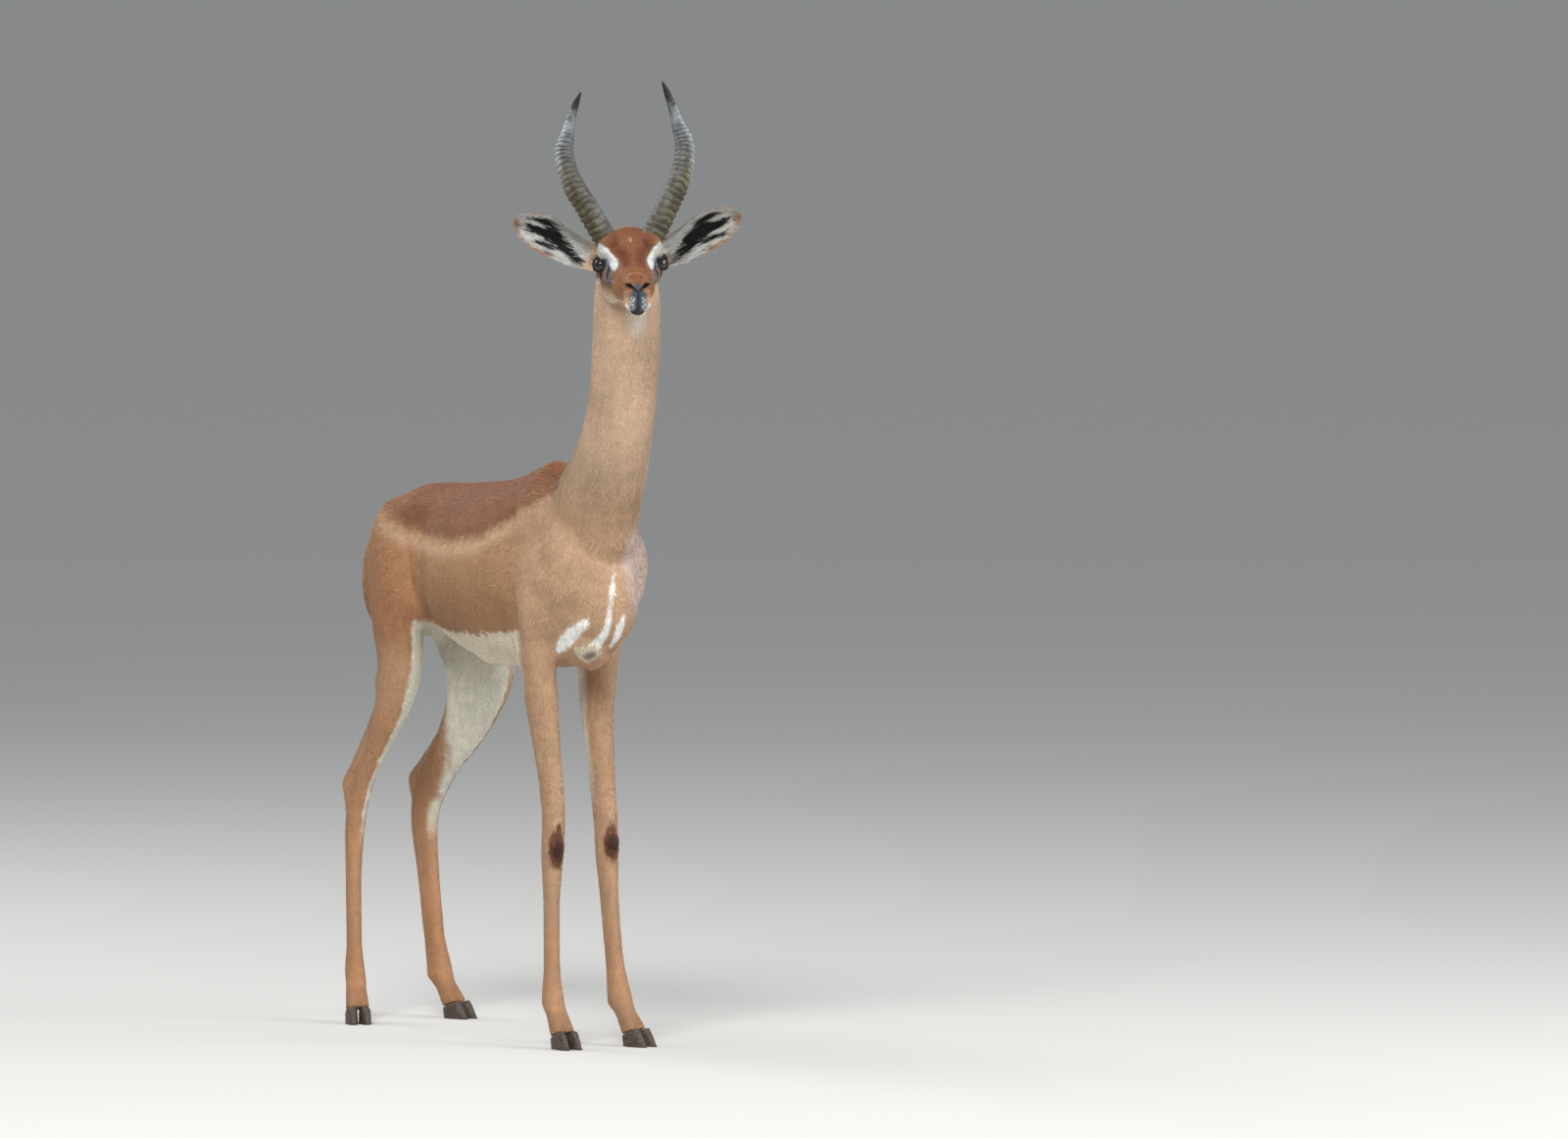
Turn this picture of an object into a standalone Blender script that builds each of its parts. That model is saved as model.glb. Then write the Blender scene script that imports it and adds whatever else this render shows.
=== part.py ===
"""A male gerenuk, life size, standing with its head turned towards its right.

Metres, +Z up, the body facing -Y, with its left side at +X. The trunk, neck, head and limbs are lofts
through named stations, with muscles laid on them. They are fused, smoothed and parted with thin cuts.
"""

import math

import bmesh
import bpy
import numpy as np
from mathutils import Matrix, Vector
from mathutils.bvhtree import BVHTree

# Driving sizes of the animal
HEAD_YAW = math.radians(27)
HEAD_PITCH = math.radians(11)
HEAD_ROLL = math.radians(1.6)
EYE_RADIUS = 0.0150
HORN_RINGS = 21
EAR_LENGTH = 0.174
EAR_HALF_WIDTH = 0.0330
GAP = 0.0004

# Resolution: the points round a loft, the voxels of the fused forms and the triangles left of them
RING_POINTS = 24
HEAD_VOXEL = 0.0026
BODY_VOXEL = 0.0050
HEAD_ROUNDS = 8
BODY_ROUNDS = 44
HEAD_TRIANGLES = 4600
BODY_TRIANGLES = 5600

# How finely the lofts are stepped along their length, and the points round the larger ones
TRUNK_STEPS, NECK_STEPS, LIMB_STEPS, SKULL_STEPS, TAIL_STEPS = 60, 44, 64, 60, 20
TRUNK_POINTS, NECK_POINTS, LIMB_POINTS, SKULL_POINTS, TAIL_POINTS = 32, 28, 20, 32, 8
EAR_STEPS_ALONG, EAR_STEPS_ACROSS = 16, 8

# The back of the skull, and the direction that the nose points in
SKULL_ORIGIN = Vector((-0.0092, -0.0937, 1.3145))
NOSEWARD = Vector((
    -math.sin(HEAD_YAW) * math.cos(HEAD_PITCH),
    -math.cos(HEAD_YAW) * math.cos(HEAD_PITCH),
    -math.sin(HEAD_PITCH),
))

# Planes that part the body: a point and the normal of the side that is kept
THROAT_CUT = (Vector((-0.012, -0.106, 1.243)), Vector((-0.20, -0.40, 0.90)).normalized())
NECK_CUT = (Vector((0, -0.020, 0.918)), Vector((0, -0.584, 0.812)).normalized())
FORELEG_CUT = (Vector((0, 0.10, 0.598)), Vector((0, 0, -1)))
THIGH_CUT = (Vector((0, 0.410, 0.635)), Vector((0, 0.565, -0.825)).normalized())
FORE_AND_HIND_CUT = 0.30
KNEE_HEIGHT = 0.345
HOCK_HEIGHT = 0.352


def clear_scene():
    for obj in list(bpy.data.objects):
        bpy.data.objects.remove(obj)


def head_matrix():
    """Head space: x to the animal's right, y from the back of the skull to the nose, z to the crown."""
    right = Vector((-math.cos(HEAD_YAW), math.sin(HEAD_YAW), 0))
    crown = right.cross(NOSEWARD)
    roll = Matrix.Rotation(HEAD_ROLL, 3, NOSEWARD)
    axes = Matrix((roll @ right, NOSEWARD, roll @ crown)).transposed().to_4x4()
    return Matrix.Translation(SKULL_ORIGIN) @ axes


def new_object(name, mesh_data, collection):
    obj = bpy.data.objects.new(name, mesh_data)
    collection.objects.link(obj)
    return obj


def object_from(name, mesh, collection):
    data = bpy.data.meshes.new(name)
    bmesh.ops.recalc_face_normals(mesh, faces=mesh.faces)
    mesh.to_mesh(data)
    mesh.free()
    return new_object(name, data, collection)


def smooth_rows(keys, count):
    """Rows of numbers read from a Catmull-Rom curve through the named rows."""
    keys = np.array(keys, float)
    padded = np.vstack([2 * keys[0] - keys[1], keys, 2 * keys[-1] - keys[-2]])
    rows = []
    for place in np.linspace(0, len(keys) - 1 - 1e-9, count):
        first = int(place)
        t = place - first
        before, start, end, after = padded[first:first + 4]
        rows.append(0.5 * (
            2 * start
            + (end - before) * t
            + (2 * before - 5 * start + 4 * end - after) * t ** 2
            + (3 * start - before - 3 * end + after) * t ** 3
        ))
    return np.array(rows)


def loft(mesh, stations, front, count, points=RING_POINTS):
    """A closed tube through stations of x, y, z, half width, front depth, back depth and squareness."""
    rows = smooth_rows(stations, count)
    tangents = np.gradient(rows[:, :3], axis=0)
    rings = []
    for row, tangent in zip(rows, tangents):
        along = Vector(tangent).normalized()
        ahead = Vector(front(row) if callable(front) else front)
        ahead = (ahead - along * ahead.dot(along)).normalized()
        aside = along.cross(ahead)
        ring = []
        for k in range(points):
            cosine = math.cos(2 * math.pi * k / points)
            sine = math.sin(2 * math.pi * k / points)
            power = 2 / row[6]
            across = math.copysign(abs(cosine) ** power, cosine) * row[3]
            depth = math.copysign(abs(sine) ** power, sine) * (row[4] if sine > 0 else row[5])
            ring.append(mesh.verts.new(Vector(row[:3]) + aside * across + ahead * depth))
        rings.append(ring)
    for lower, upper in zip(rings, rings[1:]):
        for k in range(points):
            following = (k + 1) % points
            mesh.faces.new((lower[k], lower[following], upper[following], upper[k]))
    mesh.faces.new(rings[0][::-1])
    mesh.faces.new(rings[-1])
    return rings


def ellipsoid(mesh, centre, radii, turn=(0, 0, 0), space=Matrix.Identity(4)):
    """A muscle or swelling: a sphere scaled to its three radii and turned, in degrees, about x, y and z."""
    turned = Matrix.Identity(4)
    for angle, axis in zip(turn, "XYZ"):
        turned = Matrix.Rotation(math.radians(angle), 4, axis) @ turned
    place = space @ Matrix.Translation(centre) @ turned @ Matrix.Diagonal((*radii, 1))
    bmesh.ops.create_uvsphere(mesh, u_segments=20, v_segments=12, radius=1, matrix=place)


def both_sides(mesh, centre, radii, turn=(0, 0, 0), space=Matrix.Identity(4)):
    x, y, z = centre
    ellipsoid(mesh, (x, y, z), radii, turn, space)
    ellipsoid(mesh, (-x, y, z), radii, (turn[0], -turn[1], -turn[2]), space)


def trunk(mesh):
    """The barrel of the body, from the buttocks to the breast, with the muscles of shoulder and haunch."""
    stations = [
        # x, y, z, half width, height above, depth below, squareness
        (0, 0.658, 0.765, 0.020, 0.040, 0.040, 2.0),
        (0, 0.640, 0.770, 0.052, 0.080, 0.075, 2.0),
        (0, 0.595, 0.775, 0.074, 0.106, 0.100, 2.1),
        (0, 0.530, 0.775, 0.083, 0.128, 0.112, 2.1),
        (0, 0.460, 0.770, 0.088, 0.138, 0.115, 2.0),
        (0, 0.380, 0.760, 0.102, 0.154, 0.134, 2.0),
        (0, 0.300, 0.750, 0.111, 0.170, 0.142, 2.0),
        (0, 0.220, 0.745, 0.110, 0.186, 0.141, 2.0),
        (0, 0.145, 0.745, 0.098, 0.209, 0.139, 1.9),
        (0, 0.085, 0.750, 0.085, 0.214, 0.138, 1.8),
        (0, 0.030, 0.765, 0.075, 0.175, 0.138, 1.9),
        (0, -0.015, 0.785, 0.060, 0.120, 0.120, 2.0),
        (0, -0.042, 0.800, 0.032, 0.060, 0.070, 2.0),
    ]
    loft(mesh, stations, (0, 0, 1), TRUNK_STEPS, TRUNK_POINTS)
    # shoulder blade, upper arm, point of the shoulder and breast
    both_sides(mesh, (0.052, 0.100, 0.828), (0.030, 0.062, 0.095), (-14, 12, 0))
    both_sides(mesh, (0.074, 0.075, 0.730), (0.032, 0.060, 0.085), (16, 0, 0))
    both_sides(mesh, (0.058, 0.022, 0.775), (0.042, 0.050, 0.085), (8, 0, 0))
    both_sides(mesh, (0.026, -0.012, 0.745), (0.030, 0.034, 0.085), (12, 0, 0))
    # haunch, buttock and point of the hip
    both_sides(mesh, (0.060, 0.530, 0.765), (0.038, 0.085, 0.120), (-18, 0, 0))
    both_sides(mesh, (0.046, 0.612, 0.745), (0.038, 0.050, 0.100), (4, 0, 0))
    both_sides(mesh, (0.058, 0.470, 0.862), (0.024, 0.055, 0.026), (-10, 0, 0))
    # the knob of the brisket, the sheath and the groin
    ellipsoid(mesh, (0, 0.022, 0.645), (0.028, 0.040, 0.036), (-18, 0, 0))
    ellipsoid(mesh, (0, 0.350, 0.617), (0.014, 0.050, 0.016), (10, 0, 0))
    ellipsoid(mesh, (0, 0.560, 0.668), (0.032, 0.036, 0.034))


# The neck starts to turn towards the head at this height, and has turned fully this much higher
NECK_TWIST_START = 0.90
NECK_TWIST_HEIGHT = 0.35


def neck(mesh):
    """The long neck, twisting from the body's heading to the head's."""
    stations = [
        (0, 0.066, 0.800, 0.070, 0.098, 0.092, 2.0),
        (0, 0.024, 0.862, 0.068, 0.100, 0.096, 2.0),
        (0, -0.020, 0.930, 0.061, 0.086, 0.086, 2.0),
        (0, -0.053, 1.000, 0.0575, 0.073, 0.074, 2.0),
        (-0.001, -0.075, 1.075, 0.0565, 0.068, 0.066, 2.0),
        (-0.003, -0.087, 1.150, 0.0570, 0.065, 0.061, 2.0),
        (-0.006, -0.096, 1.220, 0.0565, 0.062, 0.056, 2.0),
        (-0.011, -0.103, 1.270, 0.0515, 0.058, 0.050, 2.0),
        (-0.015, -0.108, 1.310, 0.0400, 0.042, 0.036, 2.0),
    ]

    def towards_head(row):
        turn = HEAD_YAW * min(max((row[2] - NECK_TWIST_START) / NECK_TWIST_HEIGHT, 0), 1)
        return (-math.sin(turn), -math.cos(turn), 0)

    loft(mesh, stations, towards_head, NECK_STEPS, NECK_POINTS)


FEET = {
    # side of the animal (+1 left): fetlock centre, yaw of the toes in degrees away from the mid plane
    "front_right": {"side": -1, "fetlock": (-0.060, 0.052, 0.080), "turn": 3},
    "front_left": {"side": 1, "fetlock": (0.061, 0.032, 0.082), "turn": 12},
    "hind_right": {"side": -1, "fetlock": (-0.085, 0.650, 0.080), "turn": 24},
    "hind_left": {"side": 1, "fetlock": (0.087, 0.650, 0.080), "turn": 15},
}
LEG_STATIONS = {
    # x, y, z, half width, depth in front, depth behind, squareness
    "front_right": [
        (-0.066, 0.106, 0.720, 0.0310, 0.052, 0.056, 2.0),
        (-0.064, 0.099, 0.660, 0.0300, 0.045, 0.050, 2.0),
        (-0.061, 0.092, 0.600, 0.0270, 0.037, 0.041, 2.0),
        (-0.060, 0.082, 0.530, 0.0240, 0.033, 0.035, 2.1),
        (-0.059, 0.065, 0.450, 0.0200, 0.026, 0.028, 2.2),
        (-0.059, 0.053, 0.385, 0.0192, 0.023, 0.024, 2.4),
        (-0.059, 0.052, 0.345, 0.0192, 0.022, 0.022, 2.5),
        (-0.060, 0.053, 0.295, 0.0184, 0.0202, 0.0238, 2.4),
        (-0.060, 0.055, 0.229, 0.0143, 0.0167, 0.0214, 2.3),
        (-0.060, 0.055, 0.153, 0.0137, 0.0161, 0.0208, 2.3),
        (-0.060, 0.054, 0.098, 0.0145, 0.0167, 0.0214, 2.3),
        (-0.060, 0.052, 0.059, 0.0184, 0.0214, 0.0262, 2.2),
        (-0.060, 0.044, 0.034, 0.0178, 0.0178, 0.0202, 2.2),
    ],
    "front_left": [
        (0.066, 0.106, 0.720, 0.0310, 0.052, 0.056, 2.0),
        (0.064, 0.103, 0.660, 0.0300, 0.047, 0.052, 2.0),
        (0.061, 0.101, 0.600, 0.0275, 0.040, 0.044, 2.0),
        (0.060, 0.101, 0.530, 0.0235, 0.032, 0.034, 2.1),
        (0.060, 0.089, 0.450, 0.0200, 0.026, 0.028, 2.2),
        (0.060, 0.081, 0.385, 0.0192, 0.023, 0.024, 2.4),
        (0.060, 0.075, 0.345, 0.0192, 0.022, 0.022, 2.5),
        (0.060, 0.070, 0.295, 0.0184, 0.0202, 0.0238, 2.4),
        (0.060, 0.063, 0.229, 0.0143, 0.0178, 0.0226, 2.3),
        (0.060, 0.052, 0.153, 0.0137, 0.0173, 0.0220, 2.3),
        (0.061, 0.043, 0.098, 0.0145, 0.0178, 0.0226, 2.3),
        (0.061, 0.032, 0.059, 0.0184, 0.0214, 0.0274, 2.2),
        (0.062, 0.020, 0.034, 0.0178, 0.0178, 0.0202, 2.2),
    ],
    "hind_right": [
        (-0.050, 0.578, 0.830, 0.0360, 0.080, 0.072, 2.0),
        (-0.060, 0.562, 0.750, 0.0420, 0.098, 0.088, 2.0),
        (-0.068, 0.536, 0.660, 0.0430, 0.088, 0.086, 2.0),
        (-0.075, 0.515, 0.590, 0.0370, 0.066, 0.074, 2.0),
        (-0.080, 0.534, 0.520, 0.0290, 0.046, 0.052, 2.0),
        (-0.084, 0.568, 0.465, 0.0220, 0.033, 0.036, 2.1),
        (-0.085, 0.604, 0.415, 0.0190, 0.027, 0.031, 2.2),
        (-0.085, 0.628, 0.380, 0.0190, 0.028, 0.033, 2.3),
        (-0.085, 0.640, 0.345, 0.0178, 0.025, 0.027, 2.4),
        (-0.085, 0.650, 0.301, 0.0173, 0.0226, 0.0262, 2.4),
        (-0.085, 0.654, 0.229, 0.0145, 0.0208, 0.0244, 2.3),
        (-0.085, 0.653, 0.142, 0.0140, 0.0196, 0.0232, 2.3),
        (-0.085, 0.652, 0.098, 0.0145, 0.0196, 0.0232, 2.3),
        (-0.085, 0.650, 0.059, 0.0188, 0.0226, 0.0274, 2.2),
        (-0.086, 0.641, 0.034, 0.0178, 0.0190, 0.0214, 2.2),
    ],
    "hind_left": [
        (0.050, 0.574, 0.830, 0.0360, 0.080, 0.070, 2.0),
        (0.060, 0.556, 0.750, 0.0430, 0.102, 0.086, 2.0),
        (0.067, 0.522, 0.660, 0.0430, 0.096, 0.084, 2.0),
        (0.072, 0.498, 0.590, 0.0380, 0.080, 0.076, 2.0),
        (0.071, 0.518, 0.520, 0.0300, 0.056, 0.058, 2.0),
        (0.069, 0.557, 0.465, 0.0240, 0.040, 0.044, 2.1),
        (0.067, 0.604, 0.415, 0.0200, 0.031, 0.036, 2.2),
        (0.066, 0.638, 0.380, 0.0195, 0.032, 0.037, 2.3),
        (0.067, 0.660, 0.345, 0.0182, 0.029, 0.032, 2.4),
        (0.070, 0.671, 0.301, 0.0181, 0.0250, 0.0297, 2.4),
        (0.075, 0.668, 0.229, 0.0150, 0.0220, 0.0262, 2.3),
        (0.081, 0.663, 0.142, 0.0143, 0.0208, 0.0250, 2.3),
        (0.084, 0.658, 0.098, 0.0148, 0.0208, 0.0250, 2.3),
        (0.087, 0.650, 0.059, 0.0188, 0.0232, 0.0280, 2.2),
        (0.088, 0.639, 0.034, 0.0178, 0.0190, 0.0214, 2.2),
    ],
}
# The plane of the coronet above the hooves and half the distance between their middles
CORONET_HEIGHT = 0.027
CORONET_SLOPE = math.radians(20)
CLAW_SPACING = 0.0116
# The ground lies this far below the level that the heights are counted from
GROUND = -0.026


def toe_space(foot):
    """Foot space: x across, y from heel to toe and z up, with its origin on the ground below the fetlock."""
    facing = math.radians(-foot["side"] * foot["turn"])
    x, y, _ = foot["fetlock"]
    return Matrix.Translation((x, y, GROUND)) @ Matrix.Rotation(math.pi - facing, 4, "Z")


def digits(mesh, foot):
    """The two toes of a foot, down to the coronet, with the dewclaws behind the fetlock."""
    space = toe_space(foot)
    fetlock_height = foot["fetlock"][2]
    for side in (-1, 1):
        stations = [
            (side * 0.0055, 0.002, fetlock_height, 0.0115, 0.015, 0.015, 2.0),
            (side * 0.0080, 0.012, 0.058, 0.0112, 0.015, 0.016, 2.0),
            (side * 0.0100, 0.024, 0.040, 0.0106, 0.0160, 0.017, 2.0),
            (side * CLAW_SPACING, 0.034, 0.024, 0.0102, 0.018, 0.019, 2.0),
            (side * CLAW_SPACING, 0.040, 0.010, 0.0098, 0.019, 0.020, 2.0),
        ]
        placed = [(*(space @ Vector(s[:3])), *s[3:]) for s in stations]
        ahead = space.to_3x3() @ Vector((0, 1, 0))
        loft(mesh, placed, ahead, 12, 16)
        ellipsoid(mesh, (side * 0.0105, -0.020, 0.070), (0.0050, 0.0065, 0.0090), (24, 0, 0), space)


# How far the point of each hock lies behind the middle of the leg
HOCK_REACH = {"hind_right": 0.042, "hind_left": 0.070}


def hock(mesh, foot_name):
    """The point of the hock, the heel tendon above it and the shin in front."""
    side = FEET[foot_name]["side"]
    rows = {round(s[2], 3): s for s in LEG_STATIONS[foot_name]}
    point = Vector(rows[0.380][:3]) + Vector((side * 0.003, HOCK_REACH[foot_name], 0.004))
    calf = Vector(rows[0.520][:3]) + Vector((0, 0.040, 0.0))
    rope = [
        (*(calf + Vector((0, -0.030, 0.090))), 0.014, 0.016, 0.010, 2.0),
        (*(calf + Vector((0, -0.008, 0.050))), 0.016, 0.020, 0.012, 2.0),
        (*calf, 0.0125, 0.016, 0.010, 2.0),
        (*(point * 0.55 + calf * 0.45), 0.0085, 0.026, 0.009, 2.0),
        (*(point * 0.85 + calf * 0.15), 0.0088, 0.036, 0.010, 2.0),
        (*point, 0.0105, 0.040, 0.011, 2.0),
        (*(point + Vector((0, -0.006, -0.022))), 0.0110, 0.036, 0.011, 2.0),
        (*(Vector(rows[0.301][:3]) + Vector((0, 0.008, 0))), 0.0085, 0.010, 0.010, 2.0),
    ]
    loft(mesh, rope, (0, -1, 0), 26, 16)
    ellipsoid(mesh, Vector(rows[0.380][:3]) + Vector((side * 0.004, -0.006, -0.010)), (0.016, 0.020, 0.024))


# The bony front of the knee and the small knob behind it: how far behind and above the joint, and their radii
KNEE_PADS = (
    (-0.004, 0.019, (0.0195, 0.020, 0.026)),
    (0.018, 0.021, (0.010, 0.010, 0.018)),
)


def legs(mesh):
    for name, stations in LEG_STATIONS.items():
        turn = math.radians(FEET[name]["turn"]) * FEET[name]["side"]
        loft(mesh, stations, (math.sin(turn), -math.cos(turn), 0), LIMB_STEPS, LIMB_POINTS)
        digits(mesh, FEET[name])
        if name.startswith("hind"):
            hock(mesh, name)
        else:
            x, y = min(stations, key=lambda row: abs(row[2] - KNEE_HEIGHT))[:2]
            for behind, above, radii in KNEE_PADS:
                ellipsoid(mesh, (x, y + behind, KNEE_HEIGHT + above), radii)


def skull(mesh, space):
    """The head without its ears, in head space: the loft of skull and muzzle, then its swellings."""
    stations = [
        # x, y, z, half width, height above, depth below, squareness
        (0, -0.006, 0.004, 0.018, 0.020, 0.020, 2.0),
        (0, 0.006, 0.006, 0.034, 0.036, 0.038, 2.1),
        (0, 0.030, 0.006, 0.044, 0.047, 0.050, 2.2),
        (0, 0.055, 0.004, 0.049, 0.054, 0.058, 2.2),
        (0, 0.085, 0.002, 0.050, 0.052, 0.062, 2.1),
        (0, 0.108, 0.001, 0.0480, 0.046, 0.062, 2.0),
        (0, 0.128, 0.000, 0.0425, 0.039, 0.057, 2.0),
        (0, 0.150, -0.003, 0.0345, 0.035, 0.050, 2.0),
        (0, 0.175, -0.008, 0.0290, 0.032, 0.042, 2.0),
        (0, 0.200, -0.012, 0.0250, 0.030, 0.034, 2.1),
        (0, 0.222, -0.015, 0.0235, 0.028, 0.031, 2.2),
        (0, 0.236, -0.016, 0.0205, 0.024, 0.027, 2.2),
        (0, 0.245, -0.016, 0.0135, 0.015, 0.019, 2.0),
    ]
    placed = [(*(space @ Vector(s[:3])), *s[3:]) for s in stations]
    loft(mesh, placed, space.to_3x3() @ Vector((0, 0, 1)), SKULL_STEPS, SKULL_POINTS)
    # brow, cheekbone, jaw muscle, the swelling of the gland before the eye and the cheek
    both_sides(mesh, (0.0440, 0.104, 0.0275), (0.0125, 0.024, 0.0115), (0, 0, 10), space)
    both_sides(mesh, (0.0438, 0.093, -0.0145), (0.0130, 0.034, 0.0120), (0, 0, 8), space)
    both_sides(mesh, (0.0290, 0.074, -0.036), (0.0170, 0.048, 0.0300), (12, 0, 6), space)
    both_sides(mesh, (0.0375, 0.133, -0.008), (0.0100, 0.020, 0.0130), (0, 0, 14), space)
    both_sides(mesh, (0.0250, 0.165, -0.020), (0.0110, 0.030, 0.0200), (0, 0, 6), space)
    # nostril wing, upper lip, chin, crown and the bosses of the horns
    both_sides(mesh, (0.0135, 0.229, 0.002), (0.0090, 0.0125, 0.0095), (0, 0, 0), space)
    both_sides(mesh, (0.0125, 0.229, -0.0285), (0.0125, 0.0165, 0.0135), (0, 0, 0), space)
    ellipsoid(mesh, (0, 0.2215, -0.0455), (0.0150, 0.0195, 0.0085), (0, 0, 0), space)
    ellipsoid(mesh, (0, 0.078, 0.050), (0.0300, 0.0340, 0.0135), (-6, 0, 0), space)
    both_sides(mesh, (0.0330, 0.095, 0.044), (0.0205, 0.0220, 0.0180), (0, 0, 0), space)


EYE_CENTRE = Vector((0.0465, 0.1080, 0.0085))
EYE_AXIS = Vector((0.76, 0.64, 0.08)).normalized()


def mirrored(vector, side):
    return Vector((vector.x * side, vector.y, vector.z))


def eyelids(mesh, space):
    """A rolled rim round each eye opening, almond shaped and thicker above."""
    for side in (-1, 1):
        axis = mirrored(EYE_AXIS, side)
        upward = (Vector((0, 0, 1)) - axis * axis.z).normalized()
        forward = upward.cross(axis).normalized() * side
        centre = mirrored(EYE_CENTRE, side)
        rim = []
        for k in range(25):
            angle = 2 * math.pi * k / 24
            open_along = 0.0128 * math.cos(angle)
            open_up = 0.0098 * math.sin(angle)
            flat = forward * open_along + upward * open_up - upward * 0.10 * open_along
            lift = math.sqrt(max(EYE_RADIUS ** 2 - flat.length_squared, 0)) + 0.0006
            rim.append((*(space @ (centre + axis * lift + flat)), 0.0027, 0.0027, 0.0027, 2.0))
        axis_world = space.to_3x3() @ axis
        loft(mesh, rim, lambda row, axis_world=axis_world: axis_world, 48, 10)


EAR_ROOT = Vector((0.036, 0.022, -0.008))
EAR_CUT = 0.032
EAR_WALL = 0.0044
# each ear's rise from the horizontal and its sweep back, in degrees, on the animal's right and left
EAR_POSE = {1: (19, 31), -1: (23.5, 9)}
# the ear's half width, as a share of the widest, at places from its root to its tip
EAR_OUTLINE = (
    (0, 0.55), (0.14, 0.72), (0.32, 0.95), (0.55, 1.0),
    (0.76, 0.93), (0.90, 0.72), (0.97, 0.45), (1, 0.12),
)


def ear_axes(side):
    """The ear's length, width and opening directions in head space."""
    rise, back = (math.radians(a) for a in EAR_POSE[side])
    length = Vector((side * math.cos(rise) * math.cos(back), -math.cos(rise) * math.sin(back), math.sin(rise)))
    opening = Vector((side * 0.10, 1.0, -0.12))
    opening = (opening - length * opening.dot(length)).normalized()
    width = opening.cross(length).normalized() * side
    return length, width, opening


def ear_point(side, along, across):
    """A point on the ear's inner sheet: along runs from root to tip and across from the lower to the upper rim."""
    length, width, opening = ear_axes(side)
    places, shares = zip(*EAR_OUTLINE)
    half = EAR_HALF_WIDTH * float(np.interp(along, places, shares))
    curl = math.radians(112 - 66 * min(along * 1.5, 1))
    radius = half / math.sin(min(curl, math.pi / 2))
    angle = curl * across
    lean = 0.035 * EAR_LENGTH * along ** 2
    return (
        mirrored(EAR_ROOT, side)
        + length * (EAR_LENGTH * along)
        + width * (radius * math.sin(angle))
        + opening * (radius * (0.4 - math.cos(angle)) + lean)
    )


def ear(mesh, side, space, steps_along, steps_across):
    """An ear as a curled sheet with thickness, thinning towards its rim and tip."""
    inner, outer = [], []
    nudge = 1e-3
    for i in range(steps_along + 1):
        along = 0.995 * i / steps_along
        row_in, row_out = [], []
        for j in range(steps_across + 1):
            across = 2 * j / steps_across - 1
            point = ear_point(side, along, across)
            lengthwise = ear_point(side, min(along + nudge, 1), across) - ear_point(side, along - nudge, across)
            crosswise = ear_point(side, along, across + nudge) - ear_point(side, along, across - nudge)
            normal = lengthwise.cross(crosswise).normalized() * -side
            wall = EAR_WALL * (1.35 - 0.65 * along) * (1 - 0.35 * abs(across) ** 4)
            row_in.append(mesh.verts.new(space @ point))
            row_out.append(mesh.verts.new(space @ (point - normal * wall)))
        inner.append(row_in)
        outer.append(row_out)
    for i in range(steps_along):
        for j in range(steps_across):
            mesh.faces.new((inner[i][j], inner[i][j + 1], inner[i + 1][j + 1], inner[i + 1][j]))
            mesh.faces.new((outer[i][j], outer[i + 1][j], outer[i + 1][j + 1], outer[i][j + 1]))
        for j, turn in ((0, 1), (steps_across, -1)):
            quad = (inner[i][j], inner[i + 1][j], outer[i + 1][j], outer[i][j])
            mesh.faces.new(quad[::turn])
    for i, turn in ((0, -1), (steps_along, 1)):
        for j in range(steps_across):
            quad = (inner[i][j], inner[i][j + 1], outer[i][j + 1], outer[i][j])
            mesh.faces.new(quad[::turn])


def ear_roots(mesh, space):
    """The muscle at each ear's root, with the lowest part of the ear."""
    for side in (-1, 1):
        ear(mesh, side, space, 40, 24)
        length, _, opening = ear_axes(side)
        root = mirrored(EAR_ROOT, side)
        ellipsoid(mesh, root + length * 0.012 - opening * 0.006, (0.0190, 0.0190, 0.0210), (0, 0, 0), space)


def evaluated(obj):
    """The object's mesh with its modifiers applied, as new mesh data."""
    graph = bpy.context.evaluated_depsgraph_get()
    graph.update()
    return bpy.data.meshes.new_from_object(obj.evaluated_get(graph), depsgraph=graph)


def bake(obj):
    """Applies every modifier of the object."""
    data = evaluated(obj)
    obj.modifiers.clear()
    obj.data = data
    return obj


def points_of(obj):
    points = np.empty(len(obj.data.vertices) * 3, np.float32)
    obj.data.vertices.foreach_get("co", points)
    return points.reshape(-1, 3).astype(float)


# Heights between which the trunk is smoothed fully, and the share that the legs and head get
LEGS_END = 0.56
HEAD_START = 1.22
LEAST_SOFTNESS = 0.16


def softness(points):
    """How much each point is smoothed: the trunk most, the slim legs and the head least."""
    above_legs = np.clip((points[:, 2] - LEGS_END) / 0.08, 0, 1)
    below_head = np.clip((HEAD_START - points[:, 2]) / 0.06, 0, 1)
    return LEAST_SOFTNESS + (1 - LEAST_SOFTNESS) * above_legs * below_head


def soften(obj, rounds):
    group = obj.vertex_groups.new(name="soften")
    for index, weight in enumerate(softness(points_of(obj))):
        group.add([index], float(weight), "REPLACE")
    smooth = obj.modifiers.new("soften", "SMOOTH")
    smooth.factor = 0.5
    smooth.iterations = rounds
    smooth.vertex_group = group.name
    bake(obj)
    obj.vertex_groups.clear()


def fused(name, mesh, voxel, rounds, collection):
    """The joined shapes as one skin of even faces, with the hollows between them smoothed over."""
    obj = object_from(name, mesh, collection)
    remesh = obj.modifiers.new("fuse", "REMESH")
    remesh.mode = "VOXEL"
    remesh.voxel_size = voxel
    bake(obj)
    soften(obj, rounds)
    return obj


def reduce(obj, triangles):
    """Fewer faces, which stay smallest where the shape bends most."""
    decimate = obj.modifiers.new("reduce", "DECIMATE")
    decimate.ratio = triangles / (2 * len(obj.data.polygons))
    return bake(obj)


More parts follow.
